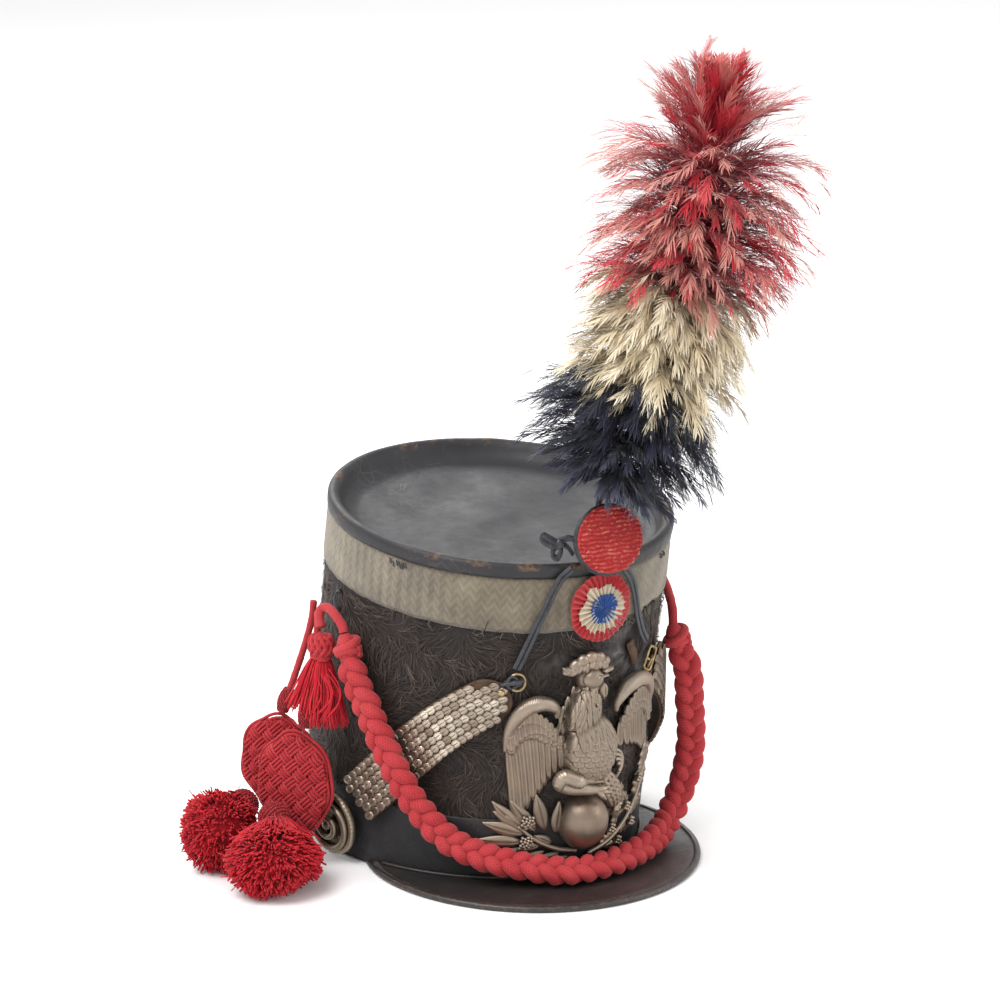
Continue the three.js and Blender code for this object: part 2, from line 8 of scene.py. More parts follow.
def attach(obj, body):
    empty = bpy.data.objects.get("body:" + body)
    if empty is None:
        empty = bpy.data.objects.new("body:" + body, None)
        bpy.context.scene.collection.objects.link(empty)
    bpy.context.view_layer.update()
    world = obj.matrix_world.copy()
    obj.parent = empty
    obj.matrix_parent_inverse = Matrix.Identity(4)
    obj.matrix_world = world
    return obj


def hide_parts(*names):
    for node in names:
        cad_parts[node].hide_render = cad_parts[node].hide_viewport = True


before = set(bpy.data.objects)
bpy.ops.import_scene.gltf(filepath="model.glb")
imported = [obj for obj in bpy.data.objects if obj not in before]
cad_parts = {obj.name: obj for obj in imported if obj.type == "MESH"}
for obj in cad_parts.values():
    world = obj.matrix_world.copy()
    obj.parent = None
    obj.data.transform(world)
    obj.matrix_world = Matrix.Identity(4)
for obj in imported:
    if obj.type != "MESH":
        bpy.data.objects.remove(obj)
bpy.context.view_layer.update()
rng = np.random.default_rng(20)
SHIFT = np.array([0, 37.4, 0.0])
CROWN_H, SLOPE, LEAN = 194.0, 0.11, 33.0
BASE, TOP = (104.0, 85.0), (93.0, 89.0)
WALL = 3.0
VIS = dict(cy=-60.0, a=95.5, b=91.0)
PI, TAU = math.pi, 2 * math.pi
D2R = PI / 180


def body(th, zc, off=0.0, f=1.0, dz=0.0):
    th, zc, off, f, dz = np.broadcast_arrays(*[np.asarray(v, float) for v in (th, zc, off, f, dz)])
    t = zc / CROWN_H
    a = BASE[0] + (TOP[0] - BASE[0]) * t + off
    b = BASE[1] + (TOP[1] - BASE[1]) * t + off
    x, y = f * b * np.sin(th), -LEAN * t - f * a * np.cos(th)
    return np.stack([x, y, zc + dz + SLOPE * np.minimum(1, t / 0.8) * y], -1)


def unit(v):
    v = np.asarray(v, float)
    return v / np.maximum(np.linalg.norm(v, axis=-1, keepdims=True), 1e-9)


def bnormal(th, zc):
    e = 0.02
    du = body(th + e, zc) - body(th - e, zc)
    dv = body(th, zc + 1) - body(th, zc - 1)
    return unit(np.cross(du, dv))


def smooth(x, a, b):
    t = np.clip((np.asarray(x, float) - a) / (b - a), 0, 1)
    return t * t * (3 - 2 * t)


# ---- mesh building -----------------------------------------------------------------------------
class Geo:
    """Collects vertices, faces, an optional per-vertex vector and value, and a material index per face."""
    def __init__(self):
        self.v, self.f, self.a, self.c, self.m, self.n = [], [], [], [], [], 0

    def add(self, V, F, A=None, C=None, mi=0):
        V = np.asarray(V, float).reshape(-1, 3)
        self.v.append(V)
        self.a.append(np.zeros((len(V), 3)) if A is None else np.asarray(A, float).reshape(-1, 3))
        self.c.append(np.full(len(V), 0.5) if C is None else np.broadcast_to(np.asarray(C, float), (len(V),)) if np.ndim(C) == 0 else np.asarray(C, float).reshape(-1))
        for f in (F if isinstance(F, list) else [F]):
            f = np.asarray(f, int)
            if len(f):
                self.f.append(f + self.n)
                self.m.append(np.full(len(f), mi))
        self.n += len(V)
        return self


def new(name, geo, mats, rep=(), flat=False, ride=True):
    me = bpy.data.meshes.new(name)
    V = (np.concatenate(geo.v) + SHIFT) / 1000.0
    me.vertices.add(len(V))
    me.vertices.foreach_set("co", V.astype(np.float32).ravel())
    loops = np.concatenate([f.ravel() for f in geo.f])
    tot = np.concatenate([np.full(len(f), f.shape[1]) for f in geo.f])
    start = np.concatenate([[0], np.cumsum(tot)[:-1]])
    me.loops.add(len(loops))
    me.loops.foreach_set("vertex_index", loops.astype(np.int32))
    me.polygons.add(len(tot))
    me.polygons.foreach_set("loop_start", start.astype(np.int32))
    me.polygons.foreach_set("material_index", np.concatenate(geo.m).astype(np.int32))
    me.update(calc_edges=True)
    me.polygons.foreach_set("use_smooth", np.full(len(tot), not flat))
    at = me.attributes.new("suv", "FLOAT_VECTOR", "POINT")
    at.data.foreach_set("vector", np.concatenate(geo.a).astype(np.float32).ravel())
    ac = me.attributes.new("tone", "FLOAT", "POINT")
    ac.data.foreach_set("value", np.concatenate([np.asarray(c, float) for c in geo.c]).astype(np.float32))
    for m in (mats if isinstance(mats, (list, tuple)) else [mats]):
        me.materials.append(m)
    me.validate()
    ob = bpy.data.objects.new(name, me)
    bpy.context.scene.collection.objects.link(ob)
    if ride:
        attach(ob, "root")
        if rep:
            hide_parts(*rep)
    return ob


def grid(P, cu=False, cv=False, flip=False):
    """Quads over P[i][j]; cu closes i, cv closes j."""
    m, n = P.shape[:2]
    i = np.arange(m if cu else m - 1)[:, None]
    j = np.arange(n if cv else n - 1)[None, :]
    a, b = i * n + j, i * n + (j + 1) % n
    c, d = ((i + 1) % m) * n + (j + 1) % n, ((i + 1) % m) * n + j
    q = np.stack([a, d, c, b] if flip else [a, b, c, d], -1).reshape(-1, 4)
    return P.reshape(-1, 3), q


def fan(start, n, centre, flip=False):
    j = np.arange(n)
    a, b = start + j, start + (j + 1) % n
    c = np.full(n, centre)
    return np.stack([c, b, a] if flip else [c, a, b], -1)


def frames(P, ref=None):
    """Tangent, side and up along each of the paths P (K, M, 3)."""
    T = np.gradient(P, axis=1)
    T = unit(T)
    if ref is None:
        ref = np.array([0.31, 0.22, 0.93])
    ref = np.broadcast_to(np.asarray(ref, float), P.shape)
    S = np.cross(ref, T)
    bad = np.linalg.norm(S, axis=-1) < 0.15
    S[bad] = np.cross(np.array([1.0, 0.05, 0.1]), T[bad])
    S = unit(S)
    return T, S, np.cross(T, S)


def tubes(geo, P, r, n=6, ref=None, tone=0.5, mi=0, flatk=1.0, u0=0.0, caps=True, parallel=False):
    """Round strands along P (K, M, 3); r broadcasts to (K, M). suv is (length along, angle, strand number)."""
    P = np.asarray(P, float)
    if P.ndim == 2:
        P = P[None]
    K, M = P.shape[:2]
    if parallel:
        T = unit(np.gradient(P, axis=1))
        S = np.zeros_like(P)
        s = unit(np.cross(np.array([0.3, 0.2, 0.9]), T[:, 0]))
        for i in range(M):
            s = s - (s * T[:, i]).sum(-1, keepdims=True) * T[:, i]
            s = unit(s)
            S[:, i] = s
        U = np.cross(T, S)
    else:
        T, S, U = frames(P, ref)
    r = np.broadcast_to(np.asarray(r, float), (K, M)) if np.ndim(r) < 2 or np.shape(r) == (K, M) else r
    q = np.arange(n) / n * TAU
    ring = P[:, :, None] + r[:, :, None, None] * (np.cos(q)[None, None, :, None] * S[:, :, None] + flatk * np.sin(q)[None, None, :, None] * U[:, :, None])
    seg = np.concatenate([np.zeros((K, 1)), np.cumsum(np.linalg.norm(np.diff(P, axis=1), axis=-1), 1)], 1) + u0
    A = np.zeros((K, M, n, 3))
    A[..., 0] = seg[:, :, None]
    A[..., 1] = q[None, None, :] / TAU
    A[..., 2] = np.arange(K)[:, None, None]
    tone = np.broadcast_to(np.asarray(tone, float).reshape(-1, 1, 1) if np.ndim(tone) else tone, (K, M, n)) if np.ndim(tone) < 2 else np.broadcast_to(np.asarray(tone, float)[:, :, None], (K, M, n))
    k = np.arange(K)[:, None, None] * (M * n)
    i = np.arange(M - 1)[None, :, None] * n
    j = np.arange(n)[None, None, :]
    a, b = k + i + j, k + i + (j + 1) % n
    F = [np.stack([a, b, b + n, a + n], -1).reshape(-1, 4)]
    V = ring.reshape(-1, 3)
    if caps and n > 2:
        ends = np.arange(K)[:, None] * (M * n) + np.arange(n)[None, ::-1]
        ends2 = np.arange(K)[:, None] * (M * n) + (M - 1) * n + np.arange(n)[None, :]
        F += [ends, ends2]
    geo.add(V, F, A.reshape(-1, 3), tone.reshape(-1), mi)
    return geo


def curve(pts, n=200):
    """Centripetal curve through pts, resampled to n points evenly spaced."""
    p = np.asarray(pts, float)
    p = np.vstack([2 * p[0] - p[1], p, 2 * p[-1] - p[-2]])
    out = []
    for i in range(1, len(p) - 2):
        p0, p1, p2, p3 = p[i - 1:i + 3]
        t0 = 0.0
        t1 = t0 + max(np.linalg.norm(p1 - p0), 1e-6) ** 0.5
        t2 = t1 + max(np.linalg.norm(p2 - p1), 1e-6) ** 0.5
        t3 = t2 + max(np.linalg.norm(p3 - p2), 1e-6) ** 0.5
        t = np.linspace(t1, t2, 24, endpoint=False)[:, None]
        A1 = (t1 - t) / (t1 - t0) * p0 + (t - t0) / (t1 - t0) * p1
        A2 = (t2 - t) / (t2 - t1) * p1 + (t - t1) / (t2 - t1) * p2
        A3 = (t3 - t) / (t3 - t2) * p2 + (t - t2) / (t3 - t2) * p3
        B1 = (t2 - t) / (t2 - t0) * A1 + (t - t0) / (t2 - t0) * A2
        B2 = (t3 - t) / (t3 - t1) * A2 + (t - t1) / (t3 - t1) * A3
        out.append((t2 - t) / (t2 - t1) * B1 + (t - t1) / (t2 - t1) * B2)
    out = np.vstack(out + [p[-2][None]])
    s = np.concatenate([[0], np.cumsum(np.linalg.norm(np.diff(out, axis=0), axis=1))])
    q = np.linspace(0, s[-1], n)
    return np.stack([np.interp(q, s, out[:, k]) for k in range(3)], -1)


def plen(P):
    return float(np.linalg.norm(np.diff(P, axis=0), axis=1).sum())


def met(p):
    return tuple(float(x) for x in (np.asarray(p, float) + SHIFT) / 1000.0)


def basis(axis, xdir):
    z = unit(axis)
    x = np.asarray(xdir, float)
    x = unit(x - (x @ z) * z)
    return np.stack([x, np.cross(z, x), z], 0)      # rows


def turned(geo, prof, at, axis, xdir=(0, 0, 1), n=48, sx=1.0, sy=1.0, tone=0.5, mi=0):
    Bm = basis(axis, xdir)
    pr = np.asarray(prof, float)
    q = np.arange(n) / n * TAU
    L = np.stack([pr[:, None, 0] * np.cos(q) * sx, pr[:, None, 0] * np.sin(q) * sy, np.broadcast_to(pr[:, None, 1], (len(pr), n))], -1)
    P = L @ Bm + np.asarray(at, float)
    V, F = grid(P, cv=True)
    V = np.vstack([V, P[0].mean(0), P[-1].mean(0)])
    k = len(V) - 2
    A = np.zeros((len(V), 3)); A[:len(pr) * n, 0] = np.repeat(pr[:, 0], n); A[:len(pr) * n, 1] = np.tile(q / TAU, len(pr)); A[:len(pr) * n, 2] = np.repeat(pr[:, 1], n)
    geo.add(V, [F, fan(0, n, k, True), fan((len(pr) - 1) * n, n, k + 1)], A, tone, mi)
    return geo


def ellipsoids(geo, C, R, Bs=None, nu=8, nv=5, tone=0.5, mi=0):
    """Many ellipsoids: C (K,3), R (K,3) radii, Bs (K,3,3) rows are local axes."""
    C, R = np.asarray(C, float).reshape(-1, 3), np.asarray(R, float).reshape(-1, 3)
    K = len(C)
    if Bs is None:
        Bs = np.broadcast_to(np.eye(3), (K, 3, 3))
    lat = (np.arange(nv) + 1) / (nv + 1) * PI
    q = np.arange(nu) / nu * TAU
    S = np.stack([np.sin(lat)[:, None] * np.cos(q), np.sin(lat)[:, None] * np.sin(q), np.broadcast_to(np.cos(lat)[:, None], (nv, nu))], -1).reshape(-1, 3)
    S = np.vstack([S, [0, 0, 1], [0, 0, -1]])
    P = np.einsum("ksd,kde->kse", S[None] * R[:, None], Bs) + C[:, None]
    nvv = len(S)
    _, F = grid(np.zeros((nv, nu, 3)), cv=True)
    top, bot = fan(0, nu, nvv - 2, False), fan((nv - 1) * nu, nu, nvv - 1, True)
    k = (np.arange(K) * nvv)[:, None, None]
    tn = np.broadcast_to(np.asarray(tone, float).reshape(-1, 1) if np.ndim(tone) else tone, (K, nvv)).reshape(-1)
    A = np.zeros((K, nvv, 3)); A[..., 2] = np.arange(K)[:, None]; A[..., 0] = S[None, :, 0]; A[..., 1] = S[None, :, 1]
    geo.add(P.reshape(-1, 3), [(F[None] + k).reshape(-1, 4)[:, ::-1], (top[None] + k).reshape(-1, 3)[:, ::-1], (bot[None] + k).reshape(-1, 3)[:, ::-1]], A.reshape(-1, 3), tn, mi)
    return geo


def vnoise(x, y, seed=0):
    """Smooth value noise in two dimensions, -1 to 1."""
    r = np.random.default_rng(seed).uniform(-1, 1, (64, 64))
    x, y = np.asarray(x, float), np.asarray(y, float)
    xi, yi = np.floor(x).astype(int), np.floor(y).astype(int)
    fx, fy = x - xi, y - yi
    fx, fy = fx * fx * (3 - 2 * fx), fy * fy * (3 - 2 * fy)
    g = lambda a, b: r[a % 64, b % 64]
    return (g(xi, yi) * (1 - fx) + g(xi + 1, yi) * fx) * (1 - fy) + (g(xi, yi + 1) * (1 - fx) + g(xi + 1, yi + 1) * fx) * fy


# ---- materials ---------------------------------------------------------------------------------
class Mat:
    def __init__(self, name, rough=0.6, metal=0.0, spec=0.5, sheen=0.0, sheen_rough=0.5, sheen_tint=(1, 1, 1), coat=0.0, coat_rough=0.2, colour=(0.5, 0.5, 0.5)):
        self.m = bpy.data.materials.new(name)
        self.m.use_nodes = True
        self.t = self.m.node_tree
        self.b = self.t.nodes["Principled BSDF"]
        i = self.b.inputs
        i["Base Color"].default_value = (*colour, 1)
        i["Roughness"].default_value = rough
        i["Metallic"].default_value = metal
        i["Specular IOR Level"].default_value = spec
        i["Sheen Weight"].default_value = sheen
        i["Sheen Roughness"].default_value = sheen_rough
        i["Sheen Tint"].default_value = (*sheen_tint, 1)
        i["Coat Weight"].default_value = coat
        i["Coat Roughness"].default_value = coat_rough
        self.m.diffuse_color = (*colour, 1)

    def n(self, kind, **kw):
        nd = self.t.nodes.new(kind)
        for k, v in kw.items():
            setattr(nd, k, v)
        return nd

    def link(self, a, b):
        self.t.links.new(a, b)

    def put(self, sock, v):
        if isinstance(v, bpy.types.NodeSocket):
            self.link(v, sock)
        else:
            sock.default_value = v

    def obj(self):
        if not hasattr(self, "_o"):
            self._o = self.n("ShaderNodeTexCoord").outputs["Object"]
        return self._o

    def attr(self, name):
        nd = self.n("ShaderNodeAttribute", attribute_name=name, attribute_type="GEOMETRY")
        return nd

    def suv(self):
        if not hasattr(self, "_s"):
            s = self.n("ShaderNodeSeparateXYZ")
            self.link(self.attr("suv").outputs["Vector"], s.inputs[0])
            self._s = s.outputs
        return self._s

    def tone(self):
        if not hasattr(self, "_t"):
            self._t = self.attr("tone").outputs["Fac"]
        return self._t

    def noise(self, scale, detail=3.0, rough=0.55, coord=None, dist=0.0, stretch=None):
        nd = self.n("ShaderNodeTexNoise")
        co = coord or self.obj()
        if stretch:
            mp = self.n("ShaderNodeMapping"); mp.inputs["Scale"].default_value = stretch
            self.link(co, mp.inputs["Vector"]); co = mp.outputs[0]
        self.link(co, nd.inputs["Vector"])
        nd.inputs["Scale"].default_value = scale
        nd.inputs["Detail"].default_value = detail
        nd.inputs["Roughness"].default_value = rough
        nd.inputs["Distortion"].default_value = dist
        return nd.outputs["Fac"]

    def voro(self, scale, feature="DISTANCE_TO_EDGE", coord=None):
        nd = self.n("ShaderNodeTexVoronoi", feature=feature)
        self.link(coord or self.obj(), nd.inputs["Vector"])
        nd.inputs["Scale"].default_value = scale
        return nd.outputs["Distance"]

    def math(self, op, a, b=None, c=None, clamp=False):
        nd = self.n("ShaderNodeMath", operation=op, use_clamp=clamp)
        self.put(nd.inputs[0], a)
        if b is not None: self.put(nd.inputs[1], b)
        if c is not None: self.put(nd.inputs[2], c)
        return nd.outputs[0]

    def wave(self, kx, ky, phase=0.0):
        """sin of TAU * (kx * suv.x + ky * suv.y + phase)"""
        x, y = self.suv()[0], self.suv()[1]
        a = self.math("MULTIPLY_ADD", x, kx * TAU, phase * TAU)
        return self.math("SINE", self.math("MULTIPLY_ADD", y, ky * TAU, a))

    def ramp(self, fac, stops, interp="LINEAR"):
        nd = self.n("ShaderNodeValToRGB")
        nd.color_ramp.interpolation = interp
        e = nd.color_ramp.elements
        while len(e) < len(stops): e.new(0.5)
        for k, (p, c) in enumerate(stops):
            e[k].position = p
            e[k].color = (*c, 1) if len(c) == 3 else c
        self.put(nd.inputs[0], fac)
        return nd.outputs["Color"]

    def mix(self, fac, a, b, mode="MIX"):
        nd = self.n("ShaderNodeMix", data_type="RGBA", blend_type=mode)
        self.put(nd.inputs[0], fac)
        self.put(nd.inputs[6], (*a, 1) if isinstance(a, tuple) else a)
        self.put(nd.inputs[7], (*b, 1) if isinstance(b, tuple) else b)
        return nd.outputs[2]

    def range(self, v, a, b, c, d):
        nd = self.n("ShaderNodeMapRange")
        self.put(nd.inputs[0], v)
        for k, x in enumerate((a, b, c, d)): nd.inputs[k + 1].default_value = x
        return nd.outputs[0]

    def bump(self, h, strength=0.5, dist=0.0005, below=None):
        nd = self.n("ShaderNodeBump")
        nd.inputs["Strength"].default_value = strength
        nd.inputs["Distance"].default_value = dist
        self.put(nd.inputs["Height"], h)
        if below is not None: self.link(below, nd.inputs["Normal"])
        return nd.outputs[0]

    def set(self, **kw):
        names = {"colour": "Base Color", "rough": "Roughness", "metal": "Metallic", "normal": "Normal", "alpha": "Alpha"}
        for k, v in kw.items():
            self.put(self.b.inputs[names[k]], (*v, 1) if isinstance(v, tuple) and len(v) == 3 else v)
        return self

def make_materials():
    M = {}
    # plush pile: dark brown, each lock its own tone
    m = Mat("plush_pile", rough=0.62, spec=0.35, sheen=0.25, sheen_rough=0.45, sheen_tint=(0.8, 0.6, 0.5))
    big = m.noise(28, 3, 0.6)
    t = m.math("ADD", m.math("MULTIPLY", m.tone(), 0.75), m.math("MULTIPLY", big, 0.3))
    m.set(colour=m.ramp(t, [(0.2, (0.010, 0.0075, 0.0065)), (0.5, (0.026, 0.018, 0.0145)), (0.75, (0.060, 0.042, 0.033)), (1.0, (0.14, 0.10, 0.075))]))
    M["pile"] = m.m
    # the felt and skin under the pile, cracked where the pile is worn off; the grey there is partly the bare skin and
    # partly painted sheen
    m = Mat("worn_skin", rough=0.6, spec=0.4)
    n1, n2 = m.noise(140, 5, 0.65), m.noise(35, 4, 0.6)
    bald_wear_and_sheen = m.math("MULTIPLY", m.range(n2, 0.42, 0.62, 0, 1), m.tone())
    # painted sheen: the bald patches get a lighter near-neutral grey base colour on top of the bare skin's brown
    c = m.mix(bald_wear_and_sheen, m.ramp(n1, [(0.3, (0.008, 0.006, 0.0055)), (0.7, (0.022, 0.015, 0.012))]), m.ramp(n1, [(0.3, (0.05, 0.035, 0.028)), (0.55, (0.11, 0.10, 0.10)), (0.75, (0.17, 0.16, 0.17))]))
    m.set(colour=c, rough=m.range(bald_wear_and_sheen, 0, 1, 0.8, 0.38), normal=m.bump(m.math("ADD", n1, m.noise(700, 2)), 0.6, 0.0006))
    M["skin"] = m.m
    # black top leather
    m = Mat("top_leather", spec=0.4)
    n1, n2, n3 = m.noise(22, 4, 0.6), m.noise(160, 6, 0.7), m.noise(9, 2, 0.5)
    cr = m.math("SUBTRACT", 1.0, m.range(m.voro(130), 0.0, 0.05, 0, 1))
    crack = m.math("MULTIPLY", cr, m.range(n1, 0.55, 0.7, 0, 1))
    edge = m.math("MULTIPLY", m.tone(), m.range(n2, 0.50, 0.62, 0, 1))
    c = m.mix(m.range(n1, 0.35, 0.7, 0, 1), (0.013, 0.013, 0.015), (0.021, 0.021, 0.024))
    c = m.mix(m.math("MULTIPLY", crack, 0.6), c, (0.10, 0.085, 0.075))
    c = m.mix(edge, c, (0.17, 0.085, 0.035))
    m.set(colour=c, rough=m.math("ADD", m.range(n2, 0.3, 0.7, 0.44, 0.60), m.range(n3, 0.3, 0.7, -0.02, 0.05)),
          normal=m.bump(m.math("ADD", m.math("MULTIPLY", n2, 0.5), m.math("MULTIPLY", crack, -0.8)), 0.35, 0.0006, m.bump(n1, 0.12, 0.003)))
    M["top"] = m.m
    # black band leather, velvety and dull
    m = Mat("band_leather", spec=0.4)
    n1, n2 = m.noise(260, 5, 0.7), m.noise(30, 3)
    m.set(colour=m.mix(m.range(n2, 0.4, 0.7, 0, 1), (0.009, 0.009, 0.010), (0.022, 0.021, 0.022)), rough=m.range(n1, 0.3, 0.7, 0.5, 0.75), normal=m.bump(n1, 0.4, 0.0006))
    M["band"] = m.m
    # visor leather: brown-black, rubbed and scratched
    m = Mat("visor_leather", spec=0.5, coat=0.1, coat_rough=0.3)
    n1, n2, n3 = m.noise(18, 4, 0.6), m.noise(420, 5, 0.7), m.noise(60, 5, 0.7, stretch=(1, 8, 1))
    c = m.mix(m.range(n1, 0.35, 0.7, 0, 1), (0.016, 0.014, 0.014), (0.036, 0.028, 0.025))
    c = m.mix(m.math("MULTIPLY", m.range(n3, 0.62, 0.72, 0, 1), 0.5), c, (0.09, 0.075, 0.065))
    c = m.mix(m.math("MULTIPLY", m.tone(), m.range(n2, 0.5, 0.65, 0, 1)), c, (0.12, 0.075, 0.045))
    m.set(colour=c, rough=m.range(n3, 0.3, 0.7, 0.34, 0.52), normal=m.bump(m.math("ADD", n2, m.math("MULTIPLY", n3, 1.5)), 0.25, 0.0006))
    M["visor"] = m.m
    # metal-thread lace in chevrons: suv.x along the band, suv.y up it, in mm
    m = Mat("lace_weave", rough=0.55, spec=0.5, sheen=0.3, sheen_rough=0.5)
    x, y = m.suv()[0], m.suv()[1]
    P = 6.4
    tri = m.math("PINGPONG", x, P / 2)
    z = m.math("ADD", m.math("MULTIPLY", y, 1.0), m.math("MULTIPLY", tri, 1.55))
    fine = m.math("SINE", m.math("MULTIPLY", z, TAU / 1.15))
    big = m.math("SINE", m.math("MULTIPLY", z, TAU / 5.2))
    warp = m.math("SINE", m.math("MULTIPLY", x, TAU / 0.55))
    n1, n2 = m.noise(55, 4, 0.65), m.noise(900, 2, 0.6)
    h = m.math("ADD", m.math("ADD", m.math("MULTIPLY", fine, 0.5), m.math("MULTIPLY", big, 0.32)), m.math("ADD", m.math("MULTIPLY", warp, 0.22), m.math("MULTIPLY", n2, 0.7)))
    # painted shade: the colour follows the weave height h, so the low threads come out darker
    v = m.math("ADD", m.math("MULTIPLY", h, 0.16), m.math("ADD", m.math("MULTIPLY", n1, 0.75), 0.08))
    c = m.ramp(v, [(0.15, (0.055, 0.040, 0.024)), (0.42, (0.155, 0.122, 0.075)), (0.62, (0.26, 0.21, 0.135)), (0.85, (0.42, 0.355, 0.245))])
    # painted shade: tone darkens the lace along its top edge under the rolled rim and its lower edge against the pile;
    # its noise part is the lace's own uneven colour
    c = m.mix(m.tone(), c, (0.07, 0.05, 0.035))
    m.set(colour=c, metal=0.25, normal=m.bump(h, 0.75, 0.0009))
    M["lace"] = m.m

    def wool(name, dark, mid, light, kx, ky, k2, strength=0.4, sheen=0.25, dist=0.0005, ribs=True):
        m = Mat(name, rough=0.85, spec=0.25, sheen=sheen, sheen_rough=0.4, sheen_tint=(1.0, 0.45, 0.45))
        n1, n2 = m.noise(60, 3), m.noise(2200, 2, 0.7)
        if ribs:
            w = m.wave(kx, ky)
            w2 = m.wave(k2, -ky)
            h = m.math("ADD", m.math("MULTIPLY", m.math("MAXIMUM", w, w2), 0.5), m.math("MULTIPLY", n2, 0.8))
        else:
            h = n2
        # painted shade: the colour follows the bump height h, so the grooves between ribs come out darker; tone brings
        # in the painted shade set on each part's cores and inner strands
        v = m.math("ADD", m.math("MULTIPLY", h, 0.25), m.math("ADD", m.math("MULTIPLY", n1, 0.35), m.math("MULTIPLY", m.tone(), 0.4)))
        m.set(colour=m.ramp(v, [(0.15, dark), (0.45, mid), (0.85, light)]), normal=m.bump(h, strength, dist))
        return m.m
    M["cord"] = wool("cord_wool", (0.13, 0.004, 0.007), (0.36, 0.022, 0.028), (0.52, 0.075, 0.078), 1.2, 9, 1.2)
    M["thin"] = wool("thin_wool", (0.13, 0.003, 0.006), (0.34, 0.016, 0.023), (0.50, 0.055, 0.06), 0.8, 2, 0.8)
    M["yarn"] = wool("cut_yarn", (0.14, 0.002, 0.006), (0.42, 0.008, 0.018), (0.66, 0.035, 0.045), 0.9, 2, 0.9, ribs=False)
    M["knit"] = wool("knit_wool", (0.14, 0.003, 0.005), (0.42, 0.014, 0.018), (0.62, 0.05, 0.05), 0.8, 2, 0.8, ribs=False)
    M["pompon"] = wool("pompon_stitch", (0.16, 0.004, 0.006), (0.46, 0.026, 0.026), (0.74, 0.30, 0.20), 0.9, 2, 0.9, ribs=False)
    # silvered copper, worn
    m = Mat("old_silver", spec=0.5)
    n1, n2, n3 = m.noise(90, 5, 0.65), m.noise(700, 4, 0.7), m.noise(26, 3, 0.6)
    geo = m.n("ShaderNodeNewGeometry").outputs["Pointiness"]
    high = m.range(geo, 0.49, 0.56, 0, 1)
    c = m.mix(m.range(n3, 0.40, 0.62, 0, 1), (0.175, 0.135, 0.10), (0.20, 0.13, 0.083))
    c = m.mix(m.range(n1, 0.35, 0.7, 0, 1), c, (0.11, 0.083, 0.06))
    c = m.mix(m.math("MULTIPLY", high, 0.55), c, (0.50, 0.42, 0.34))
    c = m.mix(m.math("MULTIPLY", m.range(geo, 0.49, 0.42, 0, 1), 0.9), c, (0.02, 0.014, 0.010))
    m.set(colour=c, metal=0.85, rough=m.range(n2, 0.3, 0.7, 0.30, 0.50), normal=m.bump(m.math("ADD", m.math("MULTIPLY", m.math("SINE", m.math("MULTIPLY", m.math("SUBTRACT", m.suv()[0], m.math("MULTIPLY", m.math("ABSOLUTE", m.suv()[1]), 1.4)), TAU / 0.95)), 0.9), m.math("ADD", n2, n1)), 0.22, 0.0005))
    M["silver"] = m.m
    m = Mat("boss_bronze", spec=0.5)
    n1, n2 = m.noise(80, 5, 0.65), m.noise(600, 3, 0.7)
    pt = m.n("ShaderNodeNewGeometry").outputs["Pointiness"]
    c = m.ramp(n1, [(0.3, (0.07, 0.05, 0.032)), (0.55, (0.15, 0.115, 0.08)), (0.8, (0.27, 0.22, 0.16))])
    c = m.mix(m.range(pt, 0.5, 0.57, 0, 0.6), c, (0.50, 0.42, 0.32))
    m.set(colour=c, metal=0.85, rough=m.range(n2, 0.3, 0.7, 0.26, 0.46), normal=m.bump(n2, 0.12, 0.0004))
    M["boss"] = m.m
    m = Mat("scale_silver", spec=0.5)
    n1, n2 = m.noise(120, 4, 0.6), m.noise(800, 3, 0.7)
    c = m.mix(m.tone(), (0.24, 0.185, 0.14), (0.66, 0.585, 0.47))
    c = m.mix(m.range(n1, 0.45, 0.75, 0, 0.7), c, (0.17, 0.125, 0.09))
    m.set(colour=c, metal=0.85, rough=m.range(n2, 0.3, 0.7, 0.26, 0.46), normal=m.bump(n2, 0.1, 0.0004))
    M["scale"] = m.m
    m = Mat("dull_brass", spec=0.5, metal=0.9)
    n1 = m.noise(300, 4, 0.65)
    m.set(colour=m.ramp(n1, [(0.3, (0.22, 0.15, 0.075)), (0.7, (0.52, 0.39, 0.20))]), rough=m.range(n1, 0.3, 0.7, 0.32, 0.5))
    M["brass"] = m.m
    m = Mat("brown_leather", rough=0.7, spec=0.35)
    n1, n2 = m.noise(70, 5, 0.65), m.noise(500, 3)
    m.set(colour=m.ramp(n1, [(0.3, (0.028, 0.014, 0.008)), (0.55, (0.085, 0.045, 0.022)), (0.8, (0.17, 0.095, 0.05))]), normal=m.bump(n2, 0.5, 0.0005))
    M["brown"] = m.m
    m = Mat("lace_leather", rough=0.42, spec=0.5)
    n1 = m.noise(300, 4, 0.65)
    m.set(colour=m.ramp(n1, [(0.3, (0.010, 0.011, 0.013)), (0.7, (0.045, 0.048, 0.058))]), rough=m.range(n1, 0.3, 0.7, 0.34, 0.55), normal=m.bump(m.wave(0.9, 1), 0.3, 0.0004))
    M["thong"] = m.m
    for name, stops in (("feather_red", [(0.0, (0.15, 0.003, 0.010)), (0.35, (0.44, 0.010, 0.026)), (0.62, (0.55, 0.06, 0.07)), (1.0, (0.57, 0.25, 0.205))]),
                        ("feather_cream", [(0.0, (0.34, 0.24, 0.12)), (0.4, (0.58, 0.47, 0.30)), (0.75, (0.72, 0.63, 0.46)), (1.0, (0.82, 0.76, 0.62))]),
                        ("feather_navy", [(0.0, (0.004, 0.004, 0.007)), (0.5, (0.010, 0.011, 0.020)), (0.85, (0.030, 0.032, 0.058)), (1.0, (0.075, 0.075, 0.11))])):
        m = Mat(name, rough=0.7, spec=0.25, sheen=0.3, sheen_rough=0.4)
